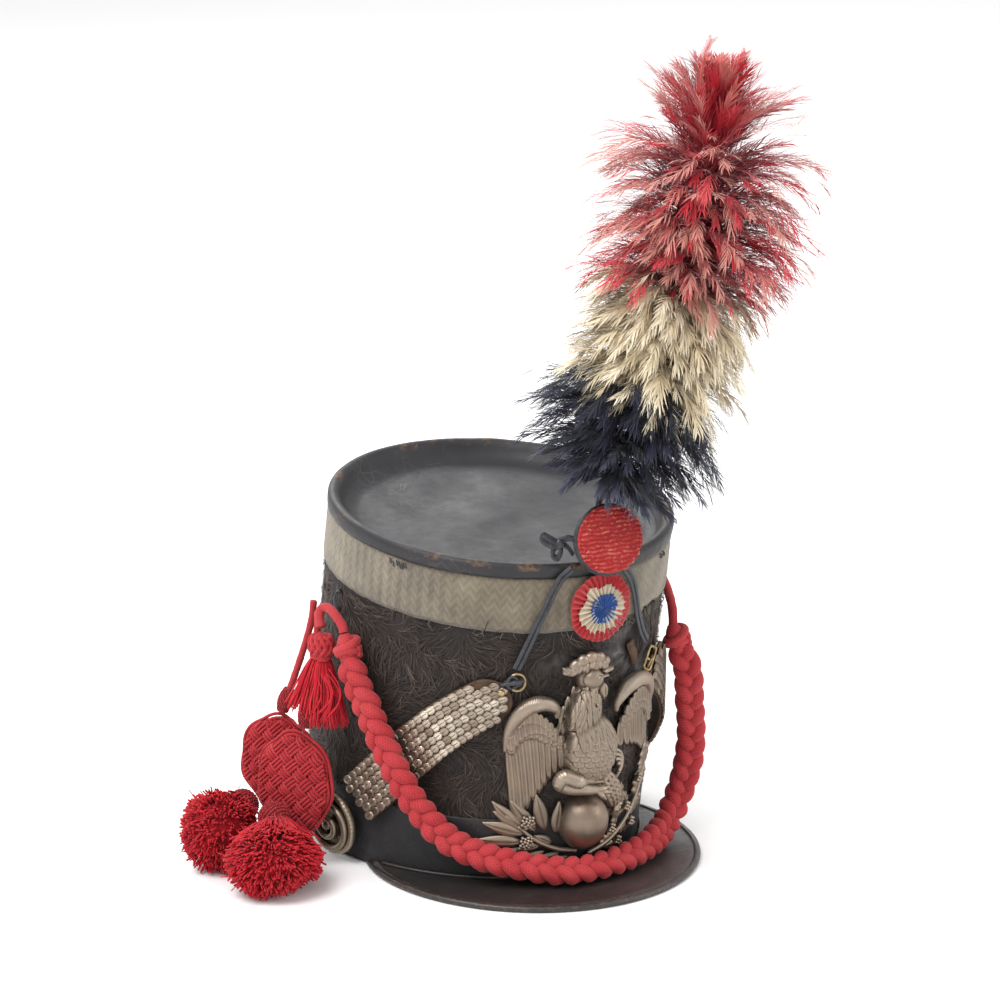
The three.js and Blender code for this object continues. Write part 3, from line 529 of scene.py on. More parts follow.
        m.set(colour=m.ramp(m.math("ADD", m.tone(), m.math("MULTIPLY", m.math("SUBTRACT", m.noise(45, 2), 0.5), 0.35)), stops))
        M[name] = m.m
    for name, a, b in (("ribbon_red", (0.25, 0.008, 0.012), (0.58, 0.03, 0.035)), ("ribbon_cream", (0.27, 0.22, 0.15), (0.66, 0.58, 0.43)), ("ribbon_blue", (0.006, 0.02, 0.09), (0.025, 0.10, 0.36))):
        m = Mat(name, rough=0.55, spec=0.4, sheen=0.4, sheen_rough=0.4)
        w = m.wave(0.0, 90.0)
        m.set(colour=m.mix(m.math("ADD", m.math("MULTIPLY", m.tone(), 0.75), m.math("MULTIPLY", m.noise(400, 3), 0.35)), a, b), normal=m.bump(m.math("ADD", m.math("MULTIPLY", w, 0.4), m.noise(1500, 2)), 0.4, 0.0004))
        M[name] = m.m
    m = Mat("floor_paper", rough=0.9, spec=0.1, colour=(0.90, 0.90, 0.90))
    M["floor"] = m.m
    return M


MT = make_materials()

# ---- camera, floor, light ----------------------------------------------------------------------
AZ, EL, DIST, AIM = -34.615 * D2R, 15.859 * D2R, 2294.9, 182.9
back = np.array([math.sin(AZ) * math.cos(EL), -math.cos(AZ) * math.cos(EL), math.sin(EL)])
right = np.array([math.cos(AZ), math.sin(AZ), 0.0])
up = np.cross(back, right)
cam_at = np.array([0, 0, AIM]) + back * DIST + right * (33.7 / 4245.7 * DIST)
cam = bpy.data.cameras.new("view")
cam.lens, cam.sensor_width = 152.845, 36.0
cam.clip_start, cam.clip_end = 0.1, 60.0
co = bpy.data.objects.new("view", cam)
bpy.context.scene.collection.objects.link(co)
co.matrix_world = Matrix([[right[k], up[k], back[k], met(cam_at)[k]] for k in range(3)] + [[0, 0, 0, 1]])
bpy.context.scene.camera = co

g = Geo()
g.add(np.array([[-9000, -9000, 0], [9000, -9000, 0], [9000, 14000, 0], [-9000, 14000, 0]]) - SHIFT, np.array([[0, 1, 2, 3]]))
floor = new("floor", g, MT["floor"], ride=False)

world = bpy.data.worlds.new("studio")
bpy.context.scene.world = world
world.use_nodes = True
bg = world.node_tree.nodes["Background"]
bg.inputs[0].default_value = (1.0, 1.0, 1.0, 1)
bg.inputs[1].default_value = 0.95
bpy.context.scene.view_settings.view_transform = "Standard"


def area(name, at, look, size, watts, colour=(1, 1, 1)):
    l = bpy.data.lights.new(name, "AREA")
    l.shape, l.size, l.size_y, l.energy, l.color = "RECTANGLE", size[0], size[1], watts, colour
    o = bpy.data.objects.new(name, l)
    bpy.context.scene.collection.objects.link(o)
    o.location = at
    o.rotation_euler = (Vector(look) - Vector(at)).to_track_quat("-Z", "Y").to_euler()
    return o


area("key", (-1.3, -0.2, 1.9), (0, 0, 0.15), (1.3, 1.3), 42)
area("fill", (1.6, -1.8, 1.0), (0, 0, 0.15), (1.4, 1.4), 16)
area("rear", (0.3, 1.6, 1.5), (0, 0, 0.2), (1.6, 0.8), 26)

# ---- body --------------------------------------------------------------------------------------
NT = 160
TH = np.arange(NT) / NT * TAU


def hoop(geo, prof, tone=None, mi=0, wav=None, cap=False):
    """prof rows: zc, off, f, dz. Closed round the oval; closed profile unless cap."""
    pr = np.array([list(p) + [1, 0][len(p) - 2:] if len(p) < 4 else p for p in prof], float)
    P = body(TH[None], pr[:, 0:1], pr[:, 1:2], pr[:, 2:3], pr[:, 3:4])
    if wav is not None:
        P = P + wav(TH[None], pr)
    V, F = grid(P, cu=not cap, cv=True)
    arc = np.concatenate([[0], np.cumsum(np.linalg.norm(np.diff(body(TH, 170.0), axis=0), axis=1))])
    A = np.zeros((len(pr), NT, 3)); A[..., 0] = arc[None]; A[..., 1] = pr[:, 0:1]; A[..., 2] = pr[:, 1:2]
    C = np.full((len(pr), NT), 0.0) if tone is None else np.broadcast_to(tone(TH[None], pr), (len(pr), NT))
    if cap:
        V = np.vstack([V, P[0].mean(0), P[-1].mean(0)])
        F = [F, fan(0, NT, len(V) - 2, True), fan((len(pr) - 1) * NT, NT, len(V) - 1)]
        A = np.vstack([A.reshape(-1, 3), np.zeros((2, 3))]); C = np.concatenate([C.reshape(-1), [C[0].mean(), C[-1].mean()]])
    geo.add(V, F, A.reshape(-1, 3), C.reshape(-1), mi)


def bald(th, zc):
    """1 where the pile is worn off."""
    d = th / D2R
    d = (d + 180) % 360 - 180
    n = vnoise(d / 7 + 9, zc / 7 + 3, 5) * 0.5 + vnoise(d / 2.6, zc / 3.0, 6) * 0.35
    a = np.exp(-((d - 11) / 13) ** 2 - ((zc - 140) / 17) ** 2)
    b = 0.85 * np.exp(-((d - 20) / 12) ** 2 - ((zc - 118) / 20) ** 2)
    c = 0.45 * np.exp(-((d + 14) / 9) ** 2 - ((zc - 139) / 12) ** 2)
    return np.clip((np.maximum(np.maximum(a, b), c) + n * 0.75 - 0.42) * 2.6, 0, 1)


g = Geo()
prof = [(0.0, -3.0), (0.0, -0.3)] + [(z, 0.0) for z in np.linspace(1, CROWN_H - 2, 44)] + [(CROWN_H - 2, -3.0)] + [(z, -3.0) for z in np.linspace(CROWN_H - 12, 8, 8)]
hoop(g, prof, tone=lambda th, pr: bald(th, pr[:, 0:1]) * (pr[:, 1:2] > -1))
crown_body = new("crown_body", g, MT["skin"], rep=("crown_shell",))

# pile: flat-lying tapered blades following a wandering nap
def pile(n, seed, lo, hi):
    r = np.random.default_rng(seed)
    n = n
    th = r.uniform(0, TAU, n); zc = r.uniform(lo, hi, n)
    keep = r.uniform(0, 1, n) > bald(th, zc) * 1.02
    th, zc = th[keep], zc[keep]
    k = len(th)
    d = th / D2R
    a1, a2 = vnoise(d / 16 + 20, zc / 22 + 7, 1), vnoise(d / 6 + 4, zc / 9 + 5, 2)
    lock = vnoise(d / 1.9, zc / 2.4, 3)
    ang = -PI / 2 + a1 * 2.1 + a2 * 1.25 + lock * 0.5 + r.normal(0, 0.16, k)
    L = r.uniform(6.0, 12.5, k) * (1 + 0.25 * lock)
    P0 = body(th, zc, -0.2)
    N = bnormal(th, zc)
    e = 0.01
    U = unit(body(th + e, zc) - body(th - e, zc)); Z = unit(np.cross(N, U))
    # U to the side, Z up the wall
    dirv = U * np.cos(ang)[:, None] + Z * np.sin(ang)[:, None]
    side = np.cross(N, dirv)
    lift = r.uniform(0.4, 1.7, k)[:, None] * (1 + 0.5 * lock[:, None])
    curl = (r.normal(0, 0.9, k) + 1.6 * a2)[:, None]
    w = r.uniform(0.14, 0.30, k)[:, None]
    L = L[:, None]
    pts = []
    for s, wk in ((0.0, 0.8), (0.4, 1.0), (0.75, 0.7)):
        c = P0 + dirv * L * s + N * (lift * math.sin(s * 2.3) + 0.15) + side * curl * s * s * 1.6
        c = c - N * ((L * s) ** 2 / 185.0) * 0.5
        pts += [c - side * w * wk, c + side * w * wk]
    tip = P0 + dirv * L + N * (lift * 0.62 + 0.1) + side * curl * 1.6 - N * (L ** 2 / 185.0) * 0.5
    pts.append(tip)
    V = np.stack(pts, 1).reshape(-1, 3)
    o = np.arange(k)[:, None] * 7
    q = np.concatenate([o + np.array([0, 1, 3, 2]), o + np.array([2, 3, 5, 4])])
    t3 = o + np.array([4, 5, 6])
    tn = np.clip(0.42 + 0.28 * lock + 0.16 * a2 + r.normal(0, 0.14, k), 0, 1)
    return V, [q, t3], np.repeat(tn, 7)


g = Geo()
V, F, C = pile(17500, 11, 38, 155)
g.add(V, F, None, C)
crown_fur = new("crown_fur", g, MT["pile"])

# sunken top with its rolled rim
g = Geo()
rr = []
for f in np.linspace(0.03, 0.88, 20):
    rr.append((CROWN_H, 0.0, f, -11.6 + 3.6 * f ** 6))
rr += [(CROWN_H, 0, 0.915, -7.6), (CROWN_H, 0, 0.935, -6.0), (CROWN_H - 2.6, -4.9, 1, 0), (CROWN_H - 0.9, -3.7, 1, 0), (CROWN_H + 0.4, -2.6, 1, 0), (CROWN_H + 1.1, -1.2, 1, 0), (CROWN_H + 1.1, 0.2, 1, 0), (CROWN_H + 0.4, 1.4, 1, 0), (CROWN_H - 1.0, 2.1, 1, 0), (CROWN_H - 3.0, 2.2, 1, 0), (CROWN_H - 5.0, 2.1, 1, 0), (CROWN_H - 6.6, 1.9, 1, 0), (CROWN_H - 6.8, 0.4, 1, 0),
       (CROWN_H - 1.7, 0.4, 1, 0), (CROWN_H - 1.7, -3.3, 1, 0), (CROWN_H - 5.6, -6.0, 1, 0), (CROWN_H, -1.2, 0.9, -11.4), (CROWN_H, 0, 0.78, -13.2), (CROWN_H, 0, 0.45, -14.0), (CROWN_H, 0, 0.03, -14.4)]


def dents(th, pr):
    f = pr[:, 2:3] * np.ones_like(th)
    x, y = f * np.sin(th) * 89, -f * np.cos(th) * 93
    d = 1.5 * vnoise(x / 42 + 3, y / 38 + 2, 8) + 0.6 * vnoise(x / 15 + 3, y / 15 + 1, 9)
    d = d - 1.9 * np.exp(-((x - 2) ** 2 + (y + 12) ** 2) / 260) - 1.5 * np.exp(-((x + 30) ** 2 + (y - 30) ** 2) / 500) + 1.6 * np.exp(-((x + 5) ** 2 + (y - 8) ** 2) / 900)
    k = np.where(f < 0.97, smooth(0.99 - f, 0, 0.3), 0)
    rim = np.where(f >= 0.97, 0.28, 0) * vnoise(th * 7 + 3, pr[:, 0:1] * 0.1, 10)
    out = np.zeros((len(pr), th.shape[1], 3))
    out[..., 2] = d * k * np.where(pr[:, 3:4] < -11.9, 0, 1) + rim
    return out


hoop(g, rr, tone=lambda th, pr: np.clip(0.9 * ((pr[:, 0:1] > CROWN_H - 2) & (pr[:, 2:3] > 0.96) & (pr[:, 1:2] > -4)) * np.clip(0.35 + vnoise(th * 9, pr[:, 0:1] * 0.02, 12), 0, 1), 0, 1), wav=dents, cap=True)
crown_leather = new("crown_leather", g, MT["top"], rep=("crown_top",))

# lace band: frayed along its lower edge near the front left, stitched near the top
g = Geo()
GZ0, GZ1 = 156.5, 187.0


def fray(th, pr):
    d = (th / D2R + 180) % 360 - 180
    low = np.exp(-((pr[:, 0:1] - GZ0) / 3.0) ** 2)
    worn = np.exp(-((d - 26) / 13) ** 2)
    out = np.zeros((len(pr), th.shape[1], 3))
    out[..., 2] = low * (worn * (1.4 + 2.6 * vnoise(d / 1.7, 0 * d, 14)) + 0.35 * vnoise(d / 2.3, 0 * d + 4, 15))
    return out


zz = list(np.linspace(GZ0, GZ1, 12))
# tone: painted shade along the lower and upper edges, where the band meets the pile and runs under the rim, plus uneven
# patches from noise
hoop(g, [(GZ0, 0.35), (GZ0 - 0.0, 1.2)] + [(z, 1.55 + 0.12 * math.sin(z)) for z in zz[1:-1]] + [(GZ1, 1.3), (GZ1, 0.35)],
     tone=lambda th, pr: np.clip(0.55 * np.exp(-((pr[:, 0:1] - GZ0) / 1.2) ** 2) + 0.30 * np.exp(-((pr[:, 0:1] - GZ1) / 1.4) ** 2) + 0.25 * vnoise(th * 5, pr[:, 0:1] * 0.08, 16), 0, 0.7), wav=fray)
galon = new("galon_lace", g, MT["lace"], rep=("galon_band",))
# loose threads at the worn lower edge and dark stitches at the seam
g = Geo()
r = np.random.default_rng(33)
d = np.concatenate([r.uniform(12, 38, 60), r.uniform(-60, 60, 26)])
th, z0 = d * D2R, GZ0 + r.uniform(0, 2.5, len(d))
P = np.stack([body(th, z0, 1.7), body(th + r.normal(0, 0.01, len(d)), z0 - 2.2, 1.9), body(th + r.normal(0, 0.02, len(d)), z0 - r.uniform(3, 6, len(d)), 1.5)], 1)
tubes(g, P, 0.16, 4, tone=0.4)
frays = new("galon_threads", g, MT["lace"])
g = Geo()
for dd, n in ((-74, 5), (-70.5, 3), (30, 4)):
    for k in range(n):
        a = (dd + 1.3 * k) * D2R; z = 184.5 - (k % 2) * 1.2
        tubes(g, np.array([body(a, z + 1.1, 1.9), body(a + 0.006, z + 0.6, 2.3), body(a + 0.01, z - 0.9, 2.3), body(a + 0.012, z - 1.4, 1.8)]), 0.36, 6)
stitches = new("galon_stitches", g, MT["thong"])

g = Geo()
hoop(g, [(1.0, 0.35), (1.0, 1.2), (2.0, 1.5)] + [(z, 1.5) for z in np.linspace(6, 36, 6)] + [(39.2, 1.45), (40, 1.1), (40, 0.35)])
lower = new("lower_leather", g, MT["band"], rep=("lower_band",))

# ---- visor -------------------------------------------------------------------------------------
def visor():
    g = Geo()
    n, m = 140, 16
    qe = 118 * D2R
    q = np.linspace(-qe, qe, n)
    out = np.stack([(VIS["b"] - 2.9) * np.sin(q), VIS["cy"] - (VIS["a"] - 2.9) * np.cos(q)], -1)
    a = np.arctan2(out[:, 0] / (BASE[1] + 2.3), -out[:, 1] / (BASE[0] + 2.3))
    inn = np.stack([(BASE[1] + 2.3) * np.sin(a), -(BASE[0] + 2.3) * np.cos(a)], -1)
    gap = np.linalg.norm(out - inn, axis=1) * np.sign((out ** 2 / np.array([(BASE[1] + 2.3) ** 2, (BASE[0] + 2.3) ** 2])).sum(-1) - 1)
    keep = gap > 0.6
    out, inn, q, gap = out[keep], inn[keep], q[keep], gap[keep]
    k = np.linspace(0, 1, m)[:, None]
    xy = inn[None] * (1 - k[..., None]) + out[None] * k[..., None]
    wob = 0.22 * vnoise(xy[..., 0] / 17, xy[..., 1] / 17, 21)
    top = 3.5 - 1.1 * smooth(k, 0, 0.9) + wob * np.sin(PI * np.clip(k, 0, 1)) + 0 * xy[..., 0]
    ridge = 0.55 * np.exp(-((gap[None] * (1 - k) - 3.0) / 0.9) ** 2)
    top = np.minimum(top + ridge, 3.9)
    Pt = np.concatenate([xy, top[..., None]], -1)
    Pb = np.concatenate([xy, np.zeros_like(top)[..., None]], -1)
    loopP = np.concatenate([Pt, Pb[::-1]], 0)
    V, F = grid(loopP, cu=True)
    mm = loopP.shape[0]; nn = loopP.shape[1]
    e0 = (np.arange(mm) * nn)[None]; e1 = (np.arange(mm) * nn + nn - 1)[None, ::-1]
    A = np.zeros((mm, nn, 3)); A[..., 0] = np.cumsum(np.concatenate([[0], np.linalg.norm(np.diff(out, axis=0), axis=1)]))[None]
    tone = np.zeros((mm, nn)); tone[:m] = 0.5 * np.exp(-((gap[None] * (1 - k) - 2.0) / 3.0) ** 2)
    g.add(V, [F, e0, e1], A, tone)
    return new("visor_plate", g, MT["visor"], rep=("visor",))


visor_plate = visor()
g = Geo()
qe = math.acos((VIS["cy"] + 29) / (VIS["a"] - 1.7))
q = np.linspace(-qe, qe, 180)
P = np.stack([(VIS["b"] - 1.75) * np.sin(q), VIS["cy"] - (VIS["a"] - 1.75) * np.cos(q), 1.75 + 0.12 * vnoise(q * 9, 0 * q, 22)], -1)
rad_ = 1.72 * (1 - 0.5 * (np.abs(q) / qe) ** 14)
P[:, 2] = np.maximum(P[:, 2], rad_ + 0.02)
tubes(g, P, rad_, 12, ref=(0, 0, 1), tone=0.6)
bind = new("visor_bead", g, MT["visor"], rep=("visor_binding",))
g = Geo()
th = np.linspace(-68, 68, 150) * D2R
P = body(th, 0.0, 3.2); P[:, 2] = 4.1
tubes(g, P, 0.95 + 0.08 * vnoise(th * 22, th * 0, 23), 10, ref=(0, 0, 1), tone=0.2)
weltp = new("visor_seam", g, MT["visor"], rep=("visor_welt",))

# ---- cordon ------------------------------------------------------------------------------------
PLAIT = [(-97, -32.8, 121.5), (-96.4, -37.5, 108.8), (-94.9, -44.8, 98.4), (-93.3, -51.8, 86.2), (-91.2, -59.9, 73.6), (-87.3, -67, 59.4), (-79.7, -74.5, 42.8), (-68.5, -84.2, 27.7), (-53.1, -97.1, 18.4), (-35.7, -110.8, 13.8),
         (-14, -121.6, 10.2), (14, -121.6, 10.2), (42, -111, 10.4), (65, -96, 13), (78, -89.5, 24), (82, -92, 40), (82.5, -94.5, 57.2), (80.5, -95.5, 80.5), (79, -95.5, 97.7), (75, -92.5, 112)]


def plait():
    n = 420
    C = curve(PLAIT, n)
    s = np.concatenate([[0], np.cumsum(np.linalg.norm(np.diff(C, axis=0), axis=1))])
    T = unit(np.gradient(C, axis=0))
    q = s / s[-1]
    outw = unit(np.stack([C[:, 0] / 85 ** 2, C[:, 1] / 104 ** 2, 0 * q], -1))
    N = outw * (1 - 0.55 * np.exp(-((q - 0.5) / 0.22) ** 2))[:, None] + np.array([0, 0, 1.0]) * (0.75 * np.exp(-((q - 0.5) / 0.2) ** 2))[:, None]
    w = smooth(q, 0.62, 0.8)[:, None]
    N = N * (1 - w) + np.array([-0.35, -0.9, 0.12]) * w
    N = unit(N - (N * T).sum(-1, keepdims=True) * T)
    B = np.cross(N, T)
    per, A, D, r = 28.0, 4.35, 2.5, 3.75
    g = Geo()
    env = smooth(q, 0, 0.018) * smooth(1 - q, 0, 0.018)
    env = 0.35 + 0.65 * env
    P = []
    for k in range(3):
        ph = TAU * s / per + TAU * k / 3
        P.append(C + B * (A * np.sin(ph) * env)[:, None] + N * (D * np.sin(2 * ph) * env)[:, None])
    P = np.stack(P)
    rr = r * (1 - 0.06 * vnoise(np.stack([s, s + 40, s + 90]) / 5, np.arange(3)[:, None] * 7.0 + 0 * s, 31))
    P[..., 2] = np.maximum(P[..., 2], 7.9)
    tubes(g, P, rr, 12, ref=None, tone=0.5, parallel=True)
    ob = new("plait", g, MT["cord"], rep=("cordon_plait",))
    return C, T


PC, PT = plait()


def coil_round(g, at, axis, R, r, turns, rise, seed=0, n=120, squash=0.0):
    """A cord wound in a few tight turns round an axis."""
    t = np.linspace(0, turns * TAU, n)
    Bm = basis(axis, (0.3, -0.8, 0.5))
    w = 0.12 * vnoise(t * 1.3, 0 * t, 40 + seed)
    L = np.stack([(R + w) * np.cos(t), (R + w) * np.sin(t), rise * (t / (turns * TAU) - 0.5) + squash * np.sin(t)], -1)
    tubes(g, L @ Bm + np.asarray(at, float), r, 12, parallel=True)


def collar(name, at, axis, node):
    g = Geo()
    at = np.asarray(at, float)
    turned(g, [(0.5, -5.5), (4.2, -5.2), (5.2, -3.5), (5.4, 0), (5.2, 3.5), (3.9, 6.3), (2.6, 8.2), (0.5, 8.4)], at, axis, (0.3, -0.8, 0.5), 28)
    coil_round(g, at + unit(axis) * 1.2, axis, 5.7, 2.25, 1.25, 4.6, 1, squash=1.1)
    coil_round(g, at - unit(axis) * 2.4, axis, 5.3, 2.1, 1.1, 2.2, 2, squash=-1.3)
    return new(name, g, MT["cord"], rep=(node,))


collar("collar_right", PC[0] - PT[0] * 3.2, -PT[0], "cordon_collar_R")
collar("collar_left", PC[-1] + PT[-1] * 3.2, PT[-1], "cordon_collar_L")


def thin(name, pts, r, node, n=160, mat="cord"):
    P = curve(pts, n)
    g = Geo()
    tubes(g, P, r * (1 + 0.05 * vnoise(np.arange(n) / 6.0, np.zeros(n), 50)), 14, parallel=True)
    ob = new(name, g, MT[mat], rep=(node,) if node else ())
    return P


TR, TL = unit(PT[0]), unit(PT[-1])
thin("hook_cord_right", [PC[0] - TR * 12, (-97.2, -27.4, 135.5), (-97.3, -20.4, 140.2), (-97.6, -13.6, 142.6), (-98.6, -9.2, 141.4), (-100.6, -9.8, 137.6), (-102.0, -13.2, 132.6)], 2.5, "hook_cord_R")
hl = [body(a * D2R, z, o) for a, z, o in ((56, 138, 7), (66, 145.5, 5), (78, 150.5, 4.6), (88, 152, 4.6), (94, 150.5, 4.8), (96, 148, 4.8))]
thin("hook_cord_left", [PC[-1] + TL * 8.8] + hl, 2.5, "hook_cord_L")
CF = [(-104.9, -2.0, 88.6), (-102.4, -1.4, 98), (-99.2, -0.8, 109), (-96.6, -0.2, 121.5), (-95.2, 0.6, 136.5)]
CR = [(-100.8, 19.9, 90.2), (-98.4, 16.4, 102), (-95.4, 13, 116), (-93.4, 10.2, 128), (-92.8, 8.2, 140)]

# side loops of dark cord that the hooks hang from
for sgn, nm, node in ((-1, "loop_right", "side_loop_R"), (1, "loop_left", "side_loop_L")):
    pts = [body(sgn * a * D2R, z, o) for a, z, o in ((99, 150.6, 1.6), (99.6, 149, 2.6), (97.4, 145, 4.6), (95.4, 141, 4.6), (96.6, 136.6, 3), (100, 139, 2))]
    P = curve(pts, 60)
    g = Geo()
    T, S, U = frames(P[None])
    for o in (-0.5, 0.5):
        tubes(g, P + S[0] * o + U[0] * 0.2 * o, 0.52, 8, parallel=True)
    ellipsoids(g, [pts[0], pts[-1]], [(1.4, 1.4, 1.2)] * 2, nu=12, nv=8)
    new(nm, g, MT["thong"], rep=(node,))

# ---- small tassel ------------------------------------------------------------------------------
g = Geo()
TA, TTOP = unit(np.array([-0.04, 0.02, -1.0])), np.array([-103.4, -16.2, 130.2])
Bt = basis(TA, (0.8, -0.55, 0))
# painted shade: the head's core gets a darker tone than the winding, so it shows dark between the turns of cord
turned(g, [(0.6, 0.2), (3.4, 0.6), (5.6, 2.6), (6.2, 6.0), (5.7, 9.6), (4.4, 12.0), (0.6, 12.6)], TTOP, TA, (0.8, -0.55, 0), 28, tone=0.25)
t = np.linspace(0, TAU * 4, 520)
for ph in (0.0,):
    zz = 6.1 + 4.7 * np.sin(t * 11 / 4 + ph)
    R = 6.05 - 0.10 * ((zz - 6.1) / 1.5) ** 2 + 0.55 * np.sin(2 * t * 11 / 4 + 0.6)
    L = np.stack([R * np.cos(t), R * np.sin(t), zz], -1)
    tubes(g, L @ Bt + TTOP, 0.98, 8, parallel=True, tone=0.6)
coil_round(g, TTOP + TA * 12.4, TA, 4.9, 1.05, 2.2, 1.6, 3)
new("tassel_small_head", g, MT["thin"], rep=("small_tassel_head",))


def yarn_skirt(name, node, n):
    g = Geo()
    r = np.random.default_rng(61)
    ph = r.uniform(0, TAU, n); ra = np.sqrt(r.uniform(0.12, 1, n))
    x, y = np.cos(ph) * ra, np.sin(ph) * ra
    Lz = 37.0 * r.uniform(0.86, 1.03, n) * (1 - 0.10 * (x < -0.2)) * (1 - 0.16 * np.clip(-x, 0, 1))
    M = 9
    s = np.linspace(0, 1, M)[None]
    flare = s ** 0.85
    X = (4.6 + (16.0 - 4.6) * flare) * x[:, None] - 0.6 * flare
    Y = (4.4 + (7.6 - 4.4) * flare) * y[:, None]
    Z = 12.6 + Lz[:, None] * s
    X += (r.normal(0, 1.0, (n, 1)) * s ** 1.5 + 1.1 * vnoise(s * 3.3 + r.uniform(0, 60, (n, 1)), r.uniform(0, 60, (n, 1)) + 0 * s, 62) * s)
    Y += 0.9 * vnoise(s * 3.1 + r.uniform(0, 60, (n, 1)), r.uniform(0, 60, (n, 1)) + 0 * s, 63) * s
    P = np.stack([X, Y, Z], -1) @ Bt + TTOP + np.array([-2.2, -3.3, 0]) * (s[..., None] ** 1.0)
    # painted shade: strands nearer the middle of the skirt and nearer the root are darker, outer ones lighter
    tone = np.clip(0.18 + 0.5 * ra[:, None] ** 2 * (0.55 + 0.45 * s) + r.normal(0, 0.14, (n, 1)), 0, 1)
    tubes(g, P, r.uniform(0.34, 0.5, (n, 1)) * (1 - 0.25 * (s > 0.97)), 5, tone=np.broadcast_to(tone, (n, M)))
    # a few strands loose across the front
    K = 10
    s = np.linspace(0, 1, 12)[None]
    x0 = r.uniform(-0.8, 0.9, (K, 1))
    P = np.stack([6 * x0 + r.uniform(4, 11, (K, 1)) * np.sin(s * 3) + 0 * s, 4.2 + 3.0 * np.sin(s * 2.6) + 0 * x0, 18 + r.uniform(22, 31, (K, 1)) * s], -1)
    # painted light: the loose outer strands get a lighter tone
    tubes(g, P @ Bt + TTOP + np.array([-2.2, -3.3, 0]) * s[..., None], 0.4, 5, tone=0.7)
    # painted shade: a dark core inside the skirt
    turned(g, [(0.5, 11.8), (3.8, 12.2), (4.4, 16), (7, 30), (8.6, 44), (0.5, 46)], TTOP, TA, (0.8, -0.55, 0), 24, sy=0.5, tone=0.0)
    new(name, g, MT["yarn"], rep=(node,))


yarn_skirt("tassel_small_yarn", "small_tassel_skirt", 280)


# ---- raquettes: flat knots woven from triple cords ---------------------------------------------
def raquette(name, at, nrm, a, b, node, seed):
    g = Geo()
    at = np.asarray(at, float)
    Z = unit(np.asarray(nrm, float)); Y = unit(np.array([0, 0, 1.0]) - Z[2] * Z); X = np.cross(Y, Z)
    Bm = np.stack([X, Y, Z])
    P0, rc, tri = 6.5, 0.92, 1.98
    r = np.random.default_rng(seed)

    def layer(sgn, dome, back):
        M = 28
        for fam in (0, 1):
            al = (0.80 if fam == 0 else -0.76)
            d = np.array([math.cos(al), math.sin(al)]); p = np.array([-math.sin(al), math.cos(al)])
            for k in range(-6, 7):
                off0 = (k + 0.18 * fam) * P0 + r.normal(0, 0.18)
                for c in (-1, 0, 1):
                    off = off0 + c * tri
                    aa, bb = a - 3.0, b - 3.0
                    A_ = (d[0] / aa) ** 2 + (d[1] / bb) ** 2
                    B_ = 2 * off * (d[0] * p[0] / aa ** 2 + d[1] * p[1] / bb ** 2)
                    C_ = off ** 2 * ((p[0] / aa) ** 2 + (p[1] / bb) ** 2) - 1
                    disc = B_ ** 2 - 4 * A_ * C_
                    if disc <= 0:
                        continue
                    s0, s1 = (-B_ - math.sqrt(disc)) / 2 / A_, (-B_ + math.sqrt(disc)) / 2 / A_
                    if s1 - s0 < 4:
                        continue
                    s = np.linspace(s0, s1, M)
                    wob = 0.25 * vnoise(s / 6, 0 * s + k * 3 + fam, seed + 3)
                    x = d[0] * s + p[0] * (off + wob); y = d[1] * s + p[1] * (off + wob)
                    rho = np.clip((x / a) ** 2 + (y / b) ** 2, 0, 1)
                    lift = 1.3 * np.cos(PI * s / P0 + PI * k + PI * fam)
                    lift = np.sign(lift) * np.abs(lift) ** 0.7
                    z = sgn * (dome * (1 - rho) ** 0.8 + 0.9 + lift * (1.0 if not back else 0.8))
                    P = np.stack([x, y, z], -1) @ Bm + at
                    tubes(g, P, rc, 6, parallel=True, tone=float(np.clip(0.5 + r.normal(0, 0.1), 0, 1)), caps=False)

    layer(1, 4.2, False)
    layer(-1, 2.4, True)
    # border: looping triple cords round the edge
    q = np.linspace(0, TAU, 260)
    for m, (ro, zo) in enumerate(((0.9, 0.2), (2.85, 1.2), (4.6, 2.0), (2.9, -1.5))):
        wav = 0.75 * np.sin(7 * q + m * 0.55 + seed)
        rx, ry = a - ro + wav - 0.2, b - ro + wav - 0.2
        P = np.stack([rx * np.cos(q), ry * np.sin(q), zo + 0.9 * np.sin(7 * q + 1.2 + m * 0.3)], -1) @ Bm + at
        tubes(g, P, rc, 8, ref=Z, tone=0.5, caps=False)
    # painted shade: a dark core behind the weave, showing between the cords
    ellipsoids(g, [at], [(a - 4.5, b - 4.5, 2.6)], Bs=Bm[None], nu=32, nv=14, tone=0.0)
    ob = new(name, g, MT["thin"], rep=(node,))
    return ob


raquette("raquette_knot_front", (-111.6, -1.4, 44.5), (-0.9, -0.42, 0.1), 24.5, 28.5, "raquette_front", 71)
raquette("raquette_knot_rear", (-105.4, 25.5, 47.3), (-0.86, -0.5, 0.05), 23.5, 27, "raquette_rear", 72)


def neck(name, pts, node):
    g = Geo()
    P = curve(pts, 30)
    t = np.linspace(0, 1, 30)
    # painted shade: the core under the knots is darker, so it reads as shade between them
    tubes(g, P, 2.6 + 1.1 * np.sin(PI * t) , 20, parallel=True, tone=0.2)
    C, R, Bs, tn = [], [], [], []
    T, S, U = frames(P[None])
    rr_ = np.random.default_rng(8)
    for i in range(1, 29, 3):
        for j in range(12):
            a = (j + 0.5 * (i % 2)) / 12 * TAU
            nn = math.cos(a) * S[0, i] + math.sin(a) * U[0, i]
            C.append(P[i] + nn * (2.5 + 1.1 * math.sin(PI * t[i])))
            Bs.append(np.stack([np.cross(nn, T[0, i]), T[0, i], nn])); R.append((0.85, 1.0, 0.75)); tn.append(0.5 + rr_.normal(0, 0.1))
    ellipsoids(g, C, R, np.array(Bs), 7, 4, tone=np.array(tn))
    return new(name, g, MT["thin"], rep=(node,))


